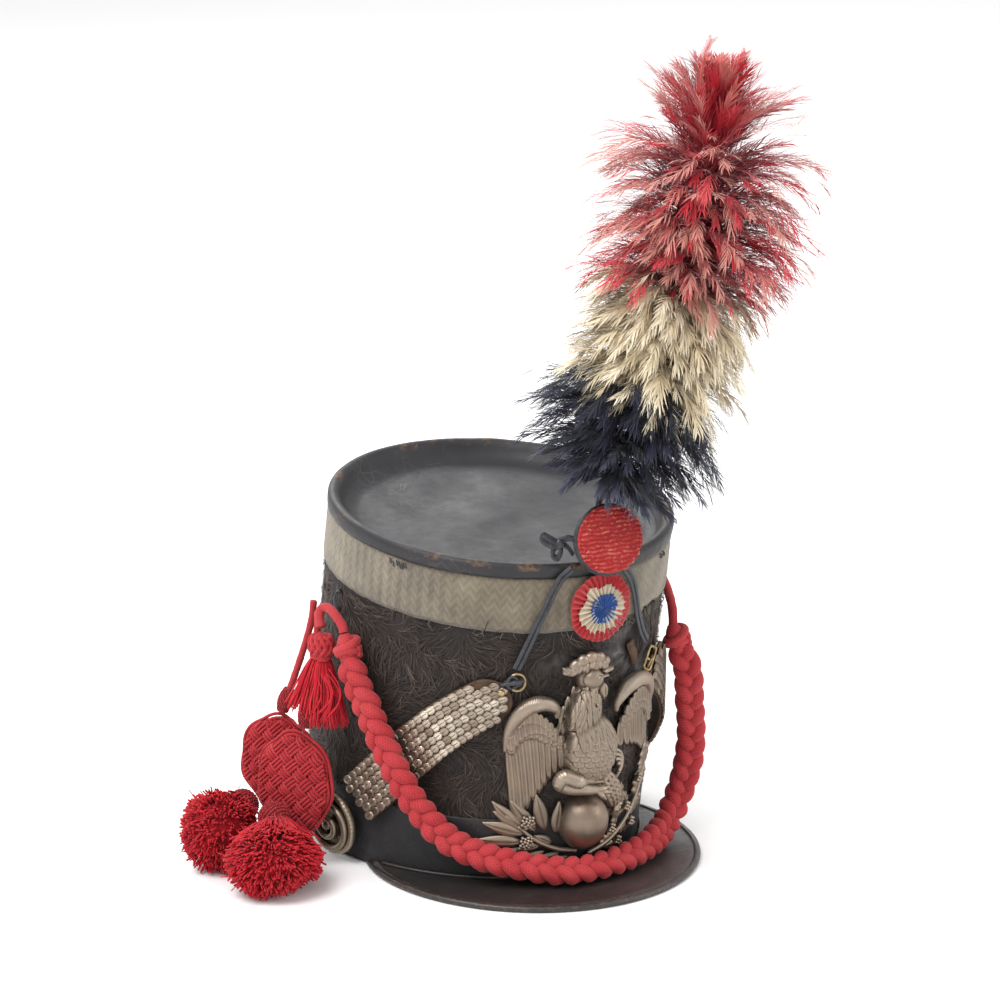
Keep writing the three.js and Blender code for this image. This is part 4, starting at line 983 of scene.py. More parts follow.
neck("raquette_neck_knot_front", [(-105.9, -2.4, 74.6), (-105.4, -2.2, 80.5), (-104.9, -2.0, 87)], "raquette_neck_front")
neck("raquette_neck_knot_rear", [(-103.5, 24.2, 76.2), (-102.6, 22.5, 82.5), (-101.2, 20.5, 88.5)], "raquette_neck_rear")
thin("raquette_line_front", CF, 1.9, "raquette_cord_front")
thin("raquette_line_rear", CR, 1.9, "raquette_cord_rear")


# ---- large tassels -----------------------------------------------------------------------------
def ball(name, at, R, axis, node):
    g = Geo()
    at = np.asarray(at, float)
    # painted shade: a dark inner ball that shows between the knots
    ellipsoids(g, [at], [(R - 1.1,) * 3], nu=32, nv=18, tone=0.05)
    Bm = basis(axis, (0, 0, 1))
    C, Rr, Bs, tn = [], [], [], []
    r_ = np.random.default_rng(int(abs(at[0]) * 7))
    rows = 13
    for i in range(rows):
        la = (i + 0.5) / rows * PI
        k = max(6, int(round(math.sin(la) * (R - 0.6) * TAU / 2.05)))
        for j in range(k):
            a = (j + 0.5 * (i % 2)) / k * TAU
            nn = np.array([math.sin(la) * math.cos(a), math.sin(la) * math.sin(a), math.cos(la)]) @ Bm
            tt = unit(np.cross(Bm[2], nn) + 1e-6)
            vv = np.cross(nn, tt)
            sl = 0.5
            t1 = math.cos(sl) * tt + math.sin(sl) * vv
            C.append(at + nn * (R - 0.95)); Bs.append(np.stack([t1, np.cross(nn, t1), nn])); Rr.append((1.3, 0.8, 0.85)); tn.append(0.45 + r_.normal(0, 0.12))
    ellipsoids(g, C, Rr, np.array(Bs), 7, 4, tone=np.array(tn))
    return new(name, g, MT["thin"], rep=(node,))


ball("knot_ball_front", (-129.5, -8.5, 30), 9.2, (0.1, -1, -0.3), "tassel_knot_front")
ball("knot_ball_rear", (-125.5, 31, 24.5), 9.2, (-0.8, -0.5, -0.4), "tassel_knot_rear")


def fluff(name, c, R, src, node, n, seed):
    """A tassel bunched into a ball: cut yarn ends facing out, longer strands drawn over from the knot."""
    g = Geo()
    r = np.random.default_rng(seed)
    c, R, src = np.asarray(c, float), np.asarray(R, float), np.asarray(src, float)
    D = unit(r.normal(0, 1, (n, 3)))
    tow = unit(src - c)
    lump = vnoise(D[:, 0] * 3 + 9, D[:, 1] * 3 + D[:, 2] * 4 + 7, seed)[:, None]
    rad = (1.0 + 0.09 * lump + r.normal(0, 0.035, (n, 1)))
    tip = c + D * R * rad
    near = smooth((D * tow).sum(-1, keepdims=True), -0.1, 0.75)
    M = 6
    s = np.linspace(0, 1, M)[None, :, None]
    base = c + (tip - c) * 0.42 + (src - c) * 0.20
    base = base * (1 - near) + (src + (tip - src) * 0.15 + unit(D) * 4) * near
    mid = (base + tip) / 2 + (D * R) * 0.10 * near + r.normal(0, 1.2, (n, 3))
    P = (1 - s) ** 2 * base[:, None] + 2 * s * (1 - s) * mid[:, None] + s ** 2 * tip[:, None]
    curl = unit(r.normal(0, 1, (n, 3)))[:, None]
    P = P + curl * (s ** 1.5) * (r.uniform(0.4, 2.4, (n, 1, 1))) + 0.5 * np.sin(s * r.uniform(4, 11, (n, 1, 1)) + r.uniform(0, 6, (n, 1, 1))) * np.roll(curl, 1, -1)
    P[..., 2] = np.maximum(P[..., 2], 0.55 + 0.2 * r.uniform(0, 1, (n, 1)))
    # painted shade and light: strands are darker at the root inside the ball and lighter at the tips, and strands
    # pointing upward are lighter still
    tone = np.clip((0.02 + 0.55 * s[..., 0] ** 2.2) + r.normal(0, 0.12, (n, 1)) + 0.10 * (D[:, 2:3] > 0.1), 0, 1)
    tubes(g, P, r.uniform(0.52, 0.8, (n, 1)) * (1 - 0.15 * s[..., 0]), 3, tone=tone, caps=True)
    # strays
    k = max(6, n // 90)
    D2 = unit(r.normal(0, 1, (k, 3)) * (1, 1, 0.6) + np.array([-0.3, -0.1, 0.35]))
    s2 = np.linspace(0, 1, 9)[None, :, None]
    b2 = c + D2 * R * 0.8
    P = b2[:, None] + s2 * (D2 * R)[:, None] * r.uniform(0.25, 0.42, (k, 1, 1)) + unit(r.normal(0, 1, (k, 1, 3))) * s2 ** 2 * 4
    P[..., 2] = np.maximum(P[..., 2], 0.5)
    # painted light: the outer strays get a lighter tone
    tubes(g, P, 0.28, 4, tone=0.6)
    # painted shade: a dark core inside the ball
    core = [(c[0], c[1], max(c[2], R[2] * 0.84))]
    ellipsoids(g, core, [R * 0.8], nu=24, nv=14, tone=0.0)
    return new(name, g, MT["yarn"], rep=(node,))


fluff("tassel_yarn_front", (-146.5, -35.3, 16.9), (26, 22, 16.9), (-132, -14, 29), "tassel_fringe_front", 1900, 81)
fluff("tassel_yarn_rear", (-152.3, 12.4, 21.2), (20, 20.5, 21.2), (-130, 28, 25), "tassel_fringe_rear", 1400, 82)

# ---- plume -------------------------------------------------------------------------------------
PLUME = [(-3, -122.6, 183), (-2.6, -123, 196), (-1.5, -124.5, 212), (4.5, -129.5, 232), (17, -134, 262), (33, -137, 305), (47, -139, 350), (57, -139, 395), (61, -138, 428)]
SC = curve(PLUME, 400)
ST = unit(np.gradient(SC, axis=0))


def feathers(name, node, mat, n, seed, u0, u1, rad, th0, th1, tonef, nb=17, blen=15.0, w=0.30, extra=0.25, spread=0.62, droop=1.0, more=None):
    """Hackles set round the stem, each a curved quill with soft barbs down both sides."""
    r = np.random.default_rng(seed)
    u = r.uniform(u0, u1, n)
    # loosely gathered in tiers
    tiers = max(2, int((u1 - u0) / 0.055))
    k = np.round((u - u0) / (u1 - u0) * tiers)
    u = 0.45 * u + 0.55 * (u0 + k / tiers * (u1 - u0)) + r.normal(0, 0.006, n)
    u = np.clip(u, u0, min(u1, 0.995))
    ph = r.uniform(0, TAU, n)
    q = (u * 399).astype(int)
    S, T = SC[q], ST[q]
    X = unit(np.array([0.823, -0.568, 0.0]) - (T @ np.array([0.823, -0.568, 0.0]))[:, None] * T)
    Y = np.cross(T, X)
    d = np.cos(ph)[:, None] * X + np.sin(ph)[:, None] * Y
    rx, ry = rad(u)
    L = np.hypot(rx * np.cos(ph), ry * np.sin(ph)) * r.uniform(0.95, 1.32, n)
    small = r.uniform(0, 1, n) < extra
    L = np.where(small, L * r.uniform(0.45, 0.75, n), L)
    a0, a1 = th0(u) + r.normal(0, 0.16, n), th1(u) + r.normal(0, 0.22, n)
    M = 9
    s = np.linspace(0, 1, M)
    ang = a0[:, None] + (a1 - a0)[:, None] * s[None] ** 1.1
    st = np.zeros((n, M, 3))
    # gravity pulls the tips straight down rather than along the stem
    sway = r.normal(0, 0.30, n)[:, None]
    side = np.cross(T, d)
    dr = np.cos(ang)[..., None] * (d[:, None] * np.cos(sway * s)[..., None] + side[:, None] * np.sin(sway * s)[..., None]) + np.sin(ang)[..., None] * T[:, None]
    dr = dr + np.array([0, 0, -0.16 * droop]) * (s[None, :, None] ** 1.5)
    dr = unit(dr)
    P = S[:, None] + d[:, None] * 1.6 + np.concatenate([np.zeros((n, 1, 3)), np.cumsum((dr[:, 1:] + dr[:, :-1]) / 2, 1)], 1) * (L / (M - 1))[:, None, None]
    if more is not None:
        P = more(P, u, ph, s)
    Tq = unit(np.gradient(P, axis=1))
    B = unit(side[:, None] + 0.25 * r.normal(0, 1, (n, 1, 3)) - 0 * Tq)
    B = unit(B - (B * Tq).sum(-1, keepdims=True) * Tq)
    N = np.cross(Tq, B)
    g = Geo()
    ft = r.uniform(0, 1, n)
    # painted shade: the callers' tone runs darker near the stem and lighter toward the tips
    tq = np.clip(tonef(u[:, None], s[None], ft[:, None]), 0, 1)
    # quills
    wq = (0.42 * (1 - 0.75 * s))[None, :, None]
    V = np.stack([P - B * wq, P + B * wq], 2).reshape(-1, 3)
    i = (np.arange(n)[:, None] * M + np.arange(M - 1)[None]) * 2
    g.add(V, np.stack([i, i + 1, i + 3, i + 2], -1).reshape(-1, 4), None, np.repeat(tq.reshape(-1), 2))
    # barbs
    sb = np.linspace(0.12, 0.985, nb)
    f = sb * (M - 1); i0 = np.minimum(f.astype(int), M - 2); fr = (f - i0)[None, :, None]
    pick = lambda A: A[:, i0] * (1 - fr) + A[:, i0 + 1] * fr
    Pb, Tb, Bb, Nb = pick(P), unit(pick(Tq)), unit(pick(B)), unit(pick(N))
    tb = np.clip(tonef(u[:, None], sb[None], ft[:, None]), 0, 1)
    prof = (np.sin(PI * np.clip(sb, 0, 1) ** 0.75) ** 0.55 * (1 - 0.35 * sb) + 0.42 * sb ** 3)[None]
    for sg in (-1, 1):
        bl = blen * prof * r.uniform(0.72, 1.2, (n, nb)) * (L / L.mean())[:, None] ** 0.6
        al = spread * r.uniform(0.75, 1.2, (n, nb)) * (1 - 0.55 * sb[None] ** 3)
        d0 = Tb * np.cos(al)[..., None] + sg * Bb * np.sin(al)[..., None] + Nb * r.normal(0, 0.14, (n, nb, 1))
        d1 = unit(d0 + Tb * 0.35 + np.array([0, 0, -0.22 * droop]) + r.normal(0, 0.10, (n, nb, 3)))
        p1 = Pb + d0 * (bl * 0.5)[..., None]
        p2 = p1 + d1 * (bl * 0.5)[..., None]
        wd = (w * r.uniform(0.7, 1.4, (n, nb)))[..., None]
        sd = unit(np.cross(d0, Nb))
        V = np.stack([Pb - sd * wd * 0.7, Pb + sd * wd * 0.7, p1 - sd * wd * 0.75, p1 + sd * wd * 0.75, p2], 2).reshape(-1, 3)
        o = np.arange(n * nb)[:, None] * 5
        # painted light: barb tips lighter than their roots
        C = np.stack([tb, tb, tb + 0.06, tb + 0.06, tb + 0.20], -1).reshape(-1)
        g.add(V, [o + np.array([0, 1, 3, 2]), o + np.array([2, 3, 4])], None, np.clip(C, 0, 1))
    for V in g.v:       # strays drawn in so that the plume keeps its outline
        V[:, 0] = np.where(V[:, 0] > 108, 108 + 0.3 * (V[:, 0] - 108), V[:, 0])
        V[:, 1] = np.where(V[:, 1] < -186, -186 + 0.3 * (V[:, 1] + 186), V[:, 1])
        V[:, 2] = np.where(V[:, 2] > 436, 436 + 0.3 * (V[:, 2] - 436), V[:, 2])
    return new(name, g, MT[mat], rep=(node,))


def lerp(u, xs, ys):
    return np.interp(u, xs, ys)


# tone per feather: darker near the stem and lighter toward the tip (painted shade inside the plume), varied per feather
feathers("plume_top", "plume_crimson", "feather_red", 670, 91, 0.545, 0.885,
         lambda u: (lerp(u, [0.47, 0.55, 0.8, 0.85, 0.885], [44, 52, 53, 40, 40]), lerp(u, [0.47, 0.6, 0.8, 0.85, 0.885], [34, 39, 40, 34, 38])),
         lambda u: lerp(u, [0.47, 0.78, 0.84, 0.885], [0.75, 0.95, 1.30, 1.50]), lambda u: lerp(u, [0.47, 0.76, 0.84, 0.885], [-0.75, -0.45, 0.75, 1.25]),
         lambda u, s, f: 0.16 + 0.74 * smooth(s, 0.28, 0.85) * (0.40 + 0.75 * smooth(f, 0.25, 0.6)) - 0.22 * smooth(u + 0.15 * f, 0.86, 0.98) + 0.16 * (f - 0.5), nb=21, blen=18, w=0.38, spread=0.47)
feathers("plume_middle", "plume_cream", "feather_cream", 470, 92, 0.335, 0.555,
         lambda u: (44 + 0 * u, 34 + 0 * u), lambda u: 0.70 + 0 * u, lambda u: -0.80 + 0 * u,
         lambda u, s, f: 0.25 + 0.40 * s + 0.35 * (f - 0.4), nb=21, blen=17, w=0.42, spread=0.47)
feathers("plume_lower", "plume_navy", "feather_navy", 500, 93, 0.175, 0.355,
         lambda u: (lerp(u, [0.2, 0.25, 0.34], [34, 44, 49]), lerp(u, [0.2, 0.25, 0.34], [26, 31, 34])), lambda u: lerp(u, [0.2, 0.34], [0.30, 0.55]), lambda u: lerp(u, [0.2, 0.34], [-0.50, -0.75]),
         lambda u, s, f: 0.22 + 0.30 * s + 0.55 * (f - 0.35) + 0.25 * smooth(0.25 - u, 0, 0.05), nb=19, blen=14.5, w=0.42, spread=0.5)
# one long thin feather and a few strays stand clear at the tip
g = Geo()
for pts, rr_ in (([(52, -141, 414), (47, -142, 424), (46.5, -143, 434), (49.5, -143, 444), (53, -143, 449)], 0.5), ([(57, -139, 416), (67, -141, 430), (72, -142, 437), (75, -142, 440)], 0.35)):
    P = curve(pts, 40)
    tubes(g, P, rr_ * (1 - 0.6 * np.linspace(0, 1, 40)), 6, parallel=True, tone=0.75)
    r = np.random.default_rng(97)
    for k in range(3, 39):
        for sg in (-1, 1):
            d0 = unit(P[min(k + 1, 39)] - P[k - 1])
            sd = unit(np.cross(d0, (-0.55, -0.79, 0.27))) * sg
            e = P[k] + (d0 * 0.85 + sd * 0.5) * r.uniform(2.5, 4.5)
            tubes(g, np.array([P[k], (P[k] + e) / 2 + d0 * 0.4, e]), 0.15, 4, tone=float(r.uniform(0.5, 1)))
new("plume_wisp", g, MT["feather_red"])
g = Geo()
P = SC[:360:6]
tubes(g, P, np.linspace(1.9, 0.9, len(P)), 10, parallel=True)
new("plume_wire", g, MT["thong"], rep=("plume_stem",))

# ---- pompon ------------------------------------------------------------------------------------
PO = np.array([-3.5, -136.5, 194.5]); PN = unit(np.array([-0.22, -0.96, 0.14]))
PB = basis(PN, (1, 0, 0)); PX, PY = PB[0], PB[1]
if PY[2] < 0:
    PX, PY = -PX, -PY
g = Geo()
# painted shade: the base disc under the stitches is dark, so the gaps between them read as shade
turned(g, [(0.5, -1), (17.2, -1), (17.9, 0.6), (17.2, 2.0), (14.6, 3.6), (9, 5.0), (0.5, 5.6)], PO - PN * 0.8, PN, PX, 48, tone=0.0)
r = np.random.default_rng(101)
C, R, Bs, tn = [], [], [], []
rows = 15
for i in range(rows):
    y = -17.0 + 34.0 * (i + 0.5) / rows
    half = math.sqrt(max(0, 18.0 ** 2 - y * y))
    k = int(half * 2 / 1.42)
    for j in range(k):
        x = -half + (j + 0.5) * 2 * half / k + r.normal(0, 0.12)
        rho = min(1, (x * x + y * y) / 18.4 ** 2)
        z = 5.0 * math.sqrt(1 - rho) + 0.4
        nn = unit(PN * (1.1 - 0.7 * rho) + (PX * x + PY * y) / 18.4 * 0.75 * rho)
        a = (0.45 if i % 2 else -0.45) + r.normal(0, 0.16)
        t1 = math.cos(a) * PX + math.sin(a) * PY
        t1 = unit(t1 - (t1 @ nn) * nn)
        C.append(PO + PX * x + PY * (y + 0.30 * math.sin(x * 0.6 + i)) + PN * (z - 1.0)); Bs.append(np.stack([t1, np.cross(nn, t1), nn]))
        R.append((1.25, 0.62, 0.85)); tn.append(np.clip(0.45 + r.normal(0, 0.17) + (0.5 if r.uniform() < 0.09 else 0), 0, 1))
ellipsoids(g, C, R, np.array(Bs), 7, 4, tone=np.array(tn))
new("pompon_wool", g, MT["pompon"], rep=("pompon_disc",))
g = Geo()
turned(g, [(0.5, -3.6), (16.6, -3.6), (18.0, -3.0), (18.4, -1.9), (18.1, -0.9), (0.5, -0.9)], PO - PN * 1.4, PN, PX, 64)
turned(g, [(17.2, -3.2), (18.6, -2.9), (19.0, -2.1), (18.5, -1.5), (17.4, -1.7)], PO - PN * 1.4 - PY * 0.7, PN, PX, 64)
new("pompon_back", g, MT["thong"], rep=("pompon_backing",))
g = Geo()
BO = PO + np.array([-23.5, 12.5, -1.5])
for pts, wd in (([(0, 0, 0), (-5, 1, 3.4), (-8.5, 1.5, 5.2), (-9.6, 1.2, 3.6), (-5.5, 0, 0.4), (0, -0.6, -1.0)], 2.2), ([(0, 0, 0), (-3, 0.5, -3.4), (-3.2, 0, -6.4), (-0.8, -0.6, -7.2), (1.0, -0.8, -4.0), (0.6, -0.5, -0.6)], 2.0), ([(0.4, 0, 0.6), (4.4, -1.4, -2.0), (7.4, -2.8, -6.5)], 1.8), ([(0.4, 0.2, 1.4), (5.5, -1.5, 2.4), (9.5, -3.5, 1.0)], 1.8)):
    P = curve([BO + np.array(p) for p in pts], 40)
    tubes(g, P, wd, 10, ref=(0.4, -0.85, 0.3), flatk=0.34, parallel=False)
ellipsoids(g, [BO + np.array([0.3, -0.6, -0.2])], [(2.4, 2.2, 2.6)], nu=16, nv=10)
new("pompon_knot", g, MT["thong"], rep=("pompon_bow",))

# ---- cockade: pleated ribbon rosette -----------------------------------------------------------
KC = body(-1.3 * D2R, 169.4, 2.9); KN = unit(np.array([-0.02, -0.992, -0.126])); KB = basis(KN, (1, 0, 0)); KX, KY = KB[0], KB[1]
if KY[2] < 0:
    KX, KY = -KX, -KY


def rosette(g, r0, r1, pleats, z0, z1, depth, seed, jag=0.0, n=11, thick=0.35):
    rn = np.random.default_rng(seed)
    m = pleats * 8
    q = np.arange(m) / m * TAU
    wobble = 0.35 * np.sin(3 * q + seed) + 0.25 * np.sin(5 * q + 2 * seed)
    ph = pleats * q + wobble
    k = np.linspace(0, 1, n)[:, None]
    edge = r1 * (1 + 0.03 * np.sin(2 * q + seed) + 0.03 * vnoise(q * 3, 0 * q, seed))
    if jag:
        jj = rn.uniform(-1, 1, pleats)
        edge = edge + jag * np.interp(q, np.arange(pleats + 1) / pleats * TAU, np.append(jj, jj[0])) + 0.35 * jag * np.sin(ph)
    rad = r0 + (edge[None] - r0) * k
    pl = np.sin(ph)[None] + 0.35 * np.sin(2 * ph + 1)[None]
    z = z0 + (z1 - z0) * k + depth * pl * np.sin(PI * (0.10 + 0.68 * k)) + 0.25 * vnoise(q[None] * 4 + 5, k * 3, seed + 1)
    qq = q[None] + 0.05 * np.cos(ph)[None] * k
    Pt = np.stack([rad * np.cos(qq) * 0.98, rad * np.sin(qq) * 1.02, z], -1) * np.array([1, 1, 1.0])
    Pb = Pt - np.array([0, 0, thick])
    loop = np.concatenate([Pt, Pb[::-1]], 0) @ KB_ + KC
    V, F = grid(loop, cu=True, cv=True)
    # painted shade: pleat crests lighter, pleat hollows and the underside darker
    tn = np.concatenate([0.5 + 0.42 * pl + 0 * k, 0.2 + 0 * k + 0 * pl], 0)
    g.add(V, F, None, np.clip(tn, 0, 1))


KB_ = np.stack([KX, KY, np.cross(KX, KY) if np.cross(KX, KY) @ KN > 0 else KN])
g = Geo(); rosette(g, 9.6, 19.0, 34, 2.0, 1.6, 0.95, 3)
# painted shade: a dark disc behind the rosette
turned(g, [(0.4, 0.1), (18.0, 0.1), (18.3, 0.7), (0.4, 0.9)], KC, KN, KX, 64, tone=0.1)
c1 = new("cockade_red", g, MT["ribbon_red"], rep=("cockade",))
g = Geo(); rosette(g, 5.6, 13.6, 26, 3.3, 2.9, 0.75, 5, jag=1.9)
new("cockade_cream", g, MT["ribbon_cream"])
g = Geo(); rosette(g, 0.4, 8.4, 22, 3.6, 4.1, 0.75, 8, jag=0.8)
new("cockade_blue", g, MT["ribbon_blue"])

# ---- twin laces, ring, knot, buckle, tab -------------------------------------------------------
def laces(name, pts, node, sep=2.35):
    P = curve([body(a * D2R, z, o) for a, z, o in pts], 120)
    N = np.stack([bnormal(a, z) for a, z in zip(np.interp(np.linspace(0, 1, 120), np.linspace(0, 1, len(pts)), [p[0] * D2R for p in pts]), np.interp(np.linspace(0, 1, 120), np.linspace(0, 1, len(pts)), [p[1] for p in pts]))]).reshape(-1, 3)
    T = unit(np.gradient(P, axis=0)); Sd = unit(np.cross(N, T))
    g = Geo()
    for sg in (-1, 1):
        Q = P + Sd * sg * sep / 2 * (1 + 0.1 * np.sin(np.linspace(0, 9, 120)))[:, None] + N * 0.12 * sg
        tubes(g, Q, 1.12, 10, ref=N[None], flatk=0.55)
    ob = new(name, g, MT["thong"], rep=(node,))
    return P


LR = laces("lace_right", [(-28.6, 134.8, 2.8), (-27.2, 141, 2.6), (-24.2, 156, 3.3), (-20.5, 172, 3.7), (-16.4, 188, 4.2), (-13.2, 194, 5.4)], "lace_R")
LL = laces("lace_left", [(6, 191, 4.8), (8.9, 185.5, 4.6), (11.6, 179.5, 4.2), (14.2, 169.5, 3.9), (17, 157, 3.5), (20.6, 145.5, 3.2), (23, 138.6, 4.0)], "lace_L")
g = Geo()
RG = body(-28.2 * D2R, 127, 3.4); RN = bnormal(-28.2 * D2R, 127.0).reshape(3)
q = np.linspace(0, TAU, 61)
Bm = basis(RN, (0, 0, 1))
tubes(g, np.stack([4.2 * np.cos(q) * 1.12, 4.2 * np.sin(q), 0.25 * np.sin(2 * q)], -1) @ Bm + RG, 0.8, 10, caps=False)
new("strap_ring", g, MT["brass"], rep=("chin_ring",))
g = Geo()
RV = body(-33 * D2R, 121, 6.1); RVn = bnormal(-33 * D2R, 121.0).reshape(3)
turned(g, [(0.2, -0.7), (1.7, -0.6), (1.75, 0.0), (1.2, 0.6), (0.2, 0.8)], RV, RVn, (0, 0, 1), 24)
new("strap_rivet", g, MT["brass"], rep=("chin_rivet",))
g = Geo()
KL = body(-29.4 * D2R, 127.2, 6.8); KLn = bnormal(-29.4 * D2R, 127.2).reshape(3)
Bm = basis(KLn, (0, 0, 1))
q = np.linspace(0, TAU, 70)
tubes(g, np.stack([2.9 * np.sin(q) + 0.7 * np.sin(2 * q), 3.1 * np.cos(q), 0.9 * np.cos(2 * q)], -1) @ Bm + KL - KLn * 1.6, 1.1, 10, caps=False, flatk=0.8)
tubes(g, np.array([[6.6, -0.6, -1.3], [3, 0.2, -0.2], [-2.2, 0.7, 0.1], [-5.2, 1.6, -1.8]]) @ Bm[[1, 0, 2]] + KL, 1.15, 8)
tubes(g, curve(np.array([[0, 4.6, -3.0], [0.5, 2, -0.3], [1.3, -1, 0.2], [0.6, -3.3, -1.6]]) @ Bm + KL, 20), 1.1, 8)
new("lace_knot", g, MT["thong"], rep=("lace_knot_R",))
g = Geo()
BK = body(25.4 * D2R, 126.5, 5.2); BN = bnormal(25.4 * D2R, 126.5).reshape(3)
Bm = basis(BN, (0.45, 0.1, 0.9))
rect = [(-6.2, -4.7), (6.2, -4.7), (6.2, 4.7), (-6.2, 4.7)]
pts = []
for i in range(4):
    a, b = np.array(rect[i]), np.array(rect[(i + 1) % 4])
    for t_ in np.linspace(0.10, 0.90, 7):
        pts.append(np.append(a * (1 - t_) + b * t_, 0.25 * math.sin(i + t_)))
pts.append(pts[0])
tubes(g, np.array(pts) @ Bm + BK, 0.72, 8, caps=False)
tubes(g, np.array([[-6.0, 0.2, 0.2], [0, 0.1, 1.1], [6.6, -0.2, 0.7]]) @ Bm + BK, 0.55, 8)
tubes(g, np.array([[-0.8, -5.2, 0.3], [-0.8, 5.2, 0.3]]) @ Bm + BK, 0.6, 8)
new("strap_buckle", g, MT["brass"], rep=("chin_buckle",))
g = Geo()
TB = body(17.2 * D2R, 134, 1.3); TN = bnormal(17.2 * D2R, 134.0).reshape(3)
Bm = basis(TN, (0.45, 0.1, -0.9))
k = np.linspace(-7.6, 7.6, 24)
P = np.stack([k, 0.25 * np.sin(k * 0.4), 0.4 + 0.3 * np.cos(k * 0.35)], -1) @ Bm + TB
w_ = 3.0 - 0.5 * smooth(k, 4, 7.5)
tubes(g, P, w_, 14, ref=TN, flatk=0.30)
for sg in (-1, 1):
    kk = np.linspace(-6.4, 6.2, 11)
    ellipsoids(g, np.stack([kk, 2.0 * sg + 0 * kk, 1.35 + 0 * kk], -1) @ Bm + TB, np.tile((0.42, 0.2, 0.2), (11, 1)), np.tile(Bm, (11, 1, 1)), 6, 4)
new("leather_tongue", g, MT["brown"], rep=("leather_tab",))

# ---- front plate: a cock with raised wings on a globe, between laurel and oak --------------------
BL = [(-3, 82, 3, 16.5, 24, 12.5, 0), (-9, 106, 3, 10, 18, 8.0, -8), (-6, 127, 3, 7.5, 9, 5.5, 0), (-12, 64, 3, 10, 6, 9.0, -14), (13, 54, 2.5, 8, 16, 6.0, 28)]


def relief(u, v):
    """Height of the modelled body over the plate's ground."""
    w = np.full(np.broadcast(u, v).shape, 0.6)
    for bu, bv, bw, a, b, c, rot in BL:
        cr, sr = math.cos(rot * D2R), math.sin(rot * D2R)
        x, y = (u - bu) * cr + (v - bv) * sr, -(u - bu) * sr + (v - bv) * cr
        k = 1 - (x / a) ** 2 - (y / b) ** 2
        h = bw * smooth(k, 0, 0.25) + c * np.sqrt(np.clip(k, 0, 1))
        w = np.maximum(w, h)
    return w


def pl(u, v, w):
    return body(np.asarray(u) / 98.0, v, 1.0 + np.asarray(w))


def petals(g, base, ang, L, W, h0=0.5, lift=0.6, arch=0.8, shape="scale", drape=True, rib=0.0, lobes=0, curl=0.0, M=12, J=9, thick=0.7, bend=0.0, tone=0.5):
    base = np.asarray(base, float).reshape(-1, 2); K = len(base)
    bc = lambda a: np.broadcast_to(np.asarray(a, float), (K,)).reshape(K, 1, 1)
    ang, L, W, h0, lift, arch, bend = bc(ang), bc(L), bc(W), bc(h0), bc(lift), bc(arch), bc(bend)
    s = np.linspace(0, 1, M)[None, :, None]
    if shape == "scale":
        hw = np.sqrt(np.clip(1 - ((s - 0.5) / 0.54) ** 2, 0.02, 1))
    elif shape == "feather":
        hw = np.clip(0.55 + s * 1.5, 0, 1) * np.sqrt(np.clip(1 - (np.clip(s - 0.72, 0, 1) / 0.285) ** 2, 0.015, 1))
    elif shape == "hackle":
        hw = np.clip(0.5 + s * 2, 0, 1) * np.clip((1 - s) * 1.7 + 0.03, 0, 1) ** 0.7
    else:
        hw = np.clip(np.sin(PI * np.clip(s, 0.012, 0.985) ** 0.85), 0.03, 1) ** 0.8
        if lobes:
            hw = hw * (1 + 0.30 * np.sin(s * TAU * lobes - 1.2))
    kt = np.linspace(-1, 1, J)[None, None, :]
    kb = np.array([0.55, 0.0, -0.55])[None, None, :]
    k = np.concatenate([kt, kb], -1)
    top = np.concatenate([np.ones(J), np.zeros(3)])[None, None]
    a = ang + bend * (s - 0.2)
    x = np.cumsum(np.cos(a) * np.ones_like(s), 1) / M * L; y = np.cumsum(np.sin(a) * np.ones_like(s), 1) / M * L
    c = k * hw * W / 2
    u = base[:, 0].reshape(K, 1, 1) + x - np.sin(a) * c
    v = base[:, 1].reshape(K, 1, 1) + y + np.cos(a) * c
    ground = relief(u, v) if drape is True else 0.0
    edge = h0 + lift * s + curl * s ** 3
    ht = arch * (1 - np.abs(k) ** 2.2) + rib * np.exp(-(k / 0.16) ** 2) - rib * 0.6 * np.exp(-((np.abs(k) - 0.34) / 0.14) ** 2)
    w = ground + edge + np.where(top > 0, ht * np.clip(hw * 1.4, 0, 1), -thick)
    w = np.maximum(w, 0.05)
    P = pl(u, v, w)
    N = J + 3
    i = np.arange(M - 1)[None, :, None] * N; j = np.arange(N)[None, None, :]; o = np.arange(K)[:, None, None] * (M * N)
    F = [np.stack([o + i + j, o + i + (j + 1) % N, o + i + N + (j + 1) % N, o + i + N + j], -1).reshape(-1, 4)[:, ::-1]]
    F += [(o[:, :, 0] + np.arange(N)[None]), (o[:, :, 0] + (M - 1) * N + np.arange(N)[None, ::-1])]
    A = np.stack([s * L + 0 * k, c * np.ones_like(s) + 0 * L, 0 * k + 0 * s * L], -1)
    tn = np.broadcast_to(np.asarray(tone, float).reshape(-1, 1, 1) if np.ndim(tone) else np.float64(tone), (K, M, N)).reshape(-1)
    g.add(P.reshape(-1, 3), F, A.reshape(-1, 3), tn)


def stem(g, pts, r, w, n=40, flatk=0.8):
    c = curve([(p[0], p[1], 0) for p in pts], n)
    wv = np.interp(np.linspace(0, 1, n), np.linspace(0, 1, len(pts)), [p[2] if len(p) > 2 else w for p in pts])
    rv = np.interp(np.linspace(0, 1, n), np.linspace(0, 1, len(r)), r) if np.ndim(r) else r
    tubes(g, pl(c[:, 0], c[:, 1], wv), rv, 12, parallel=True)


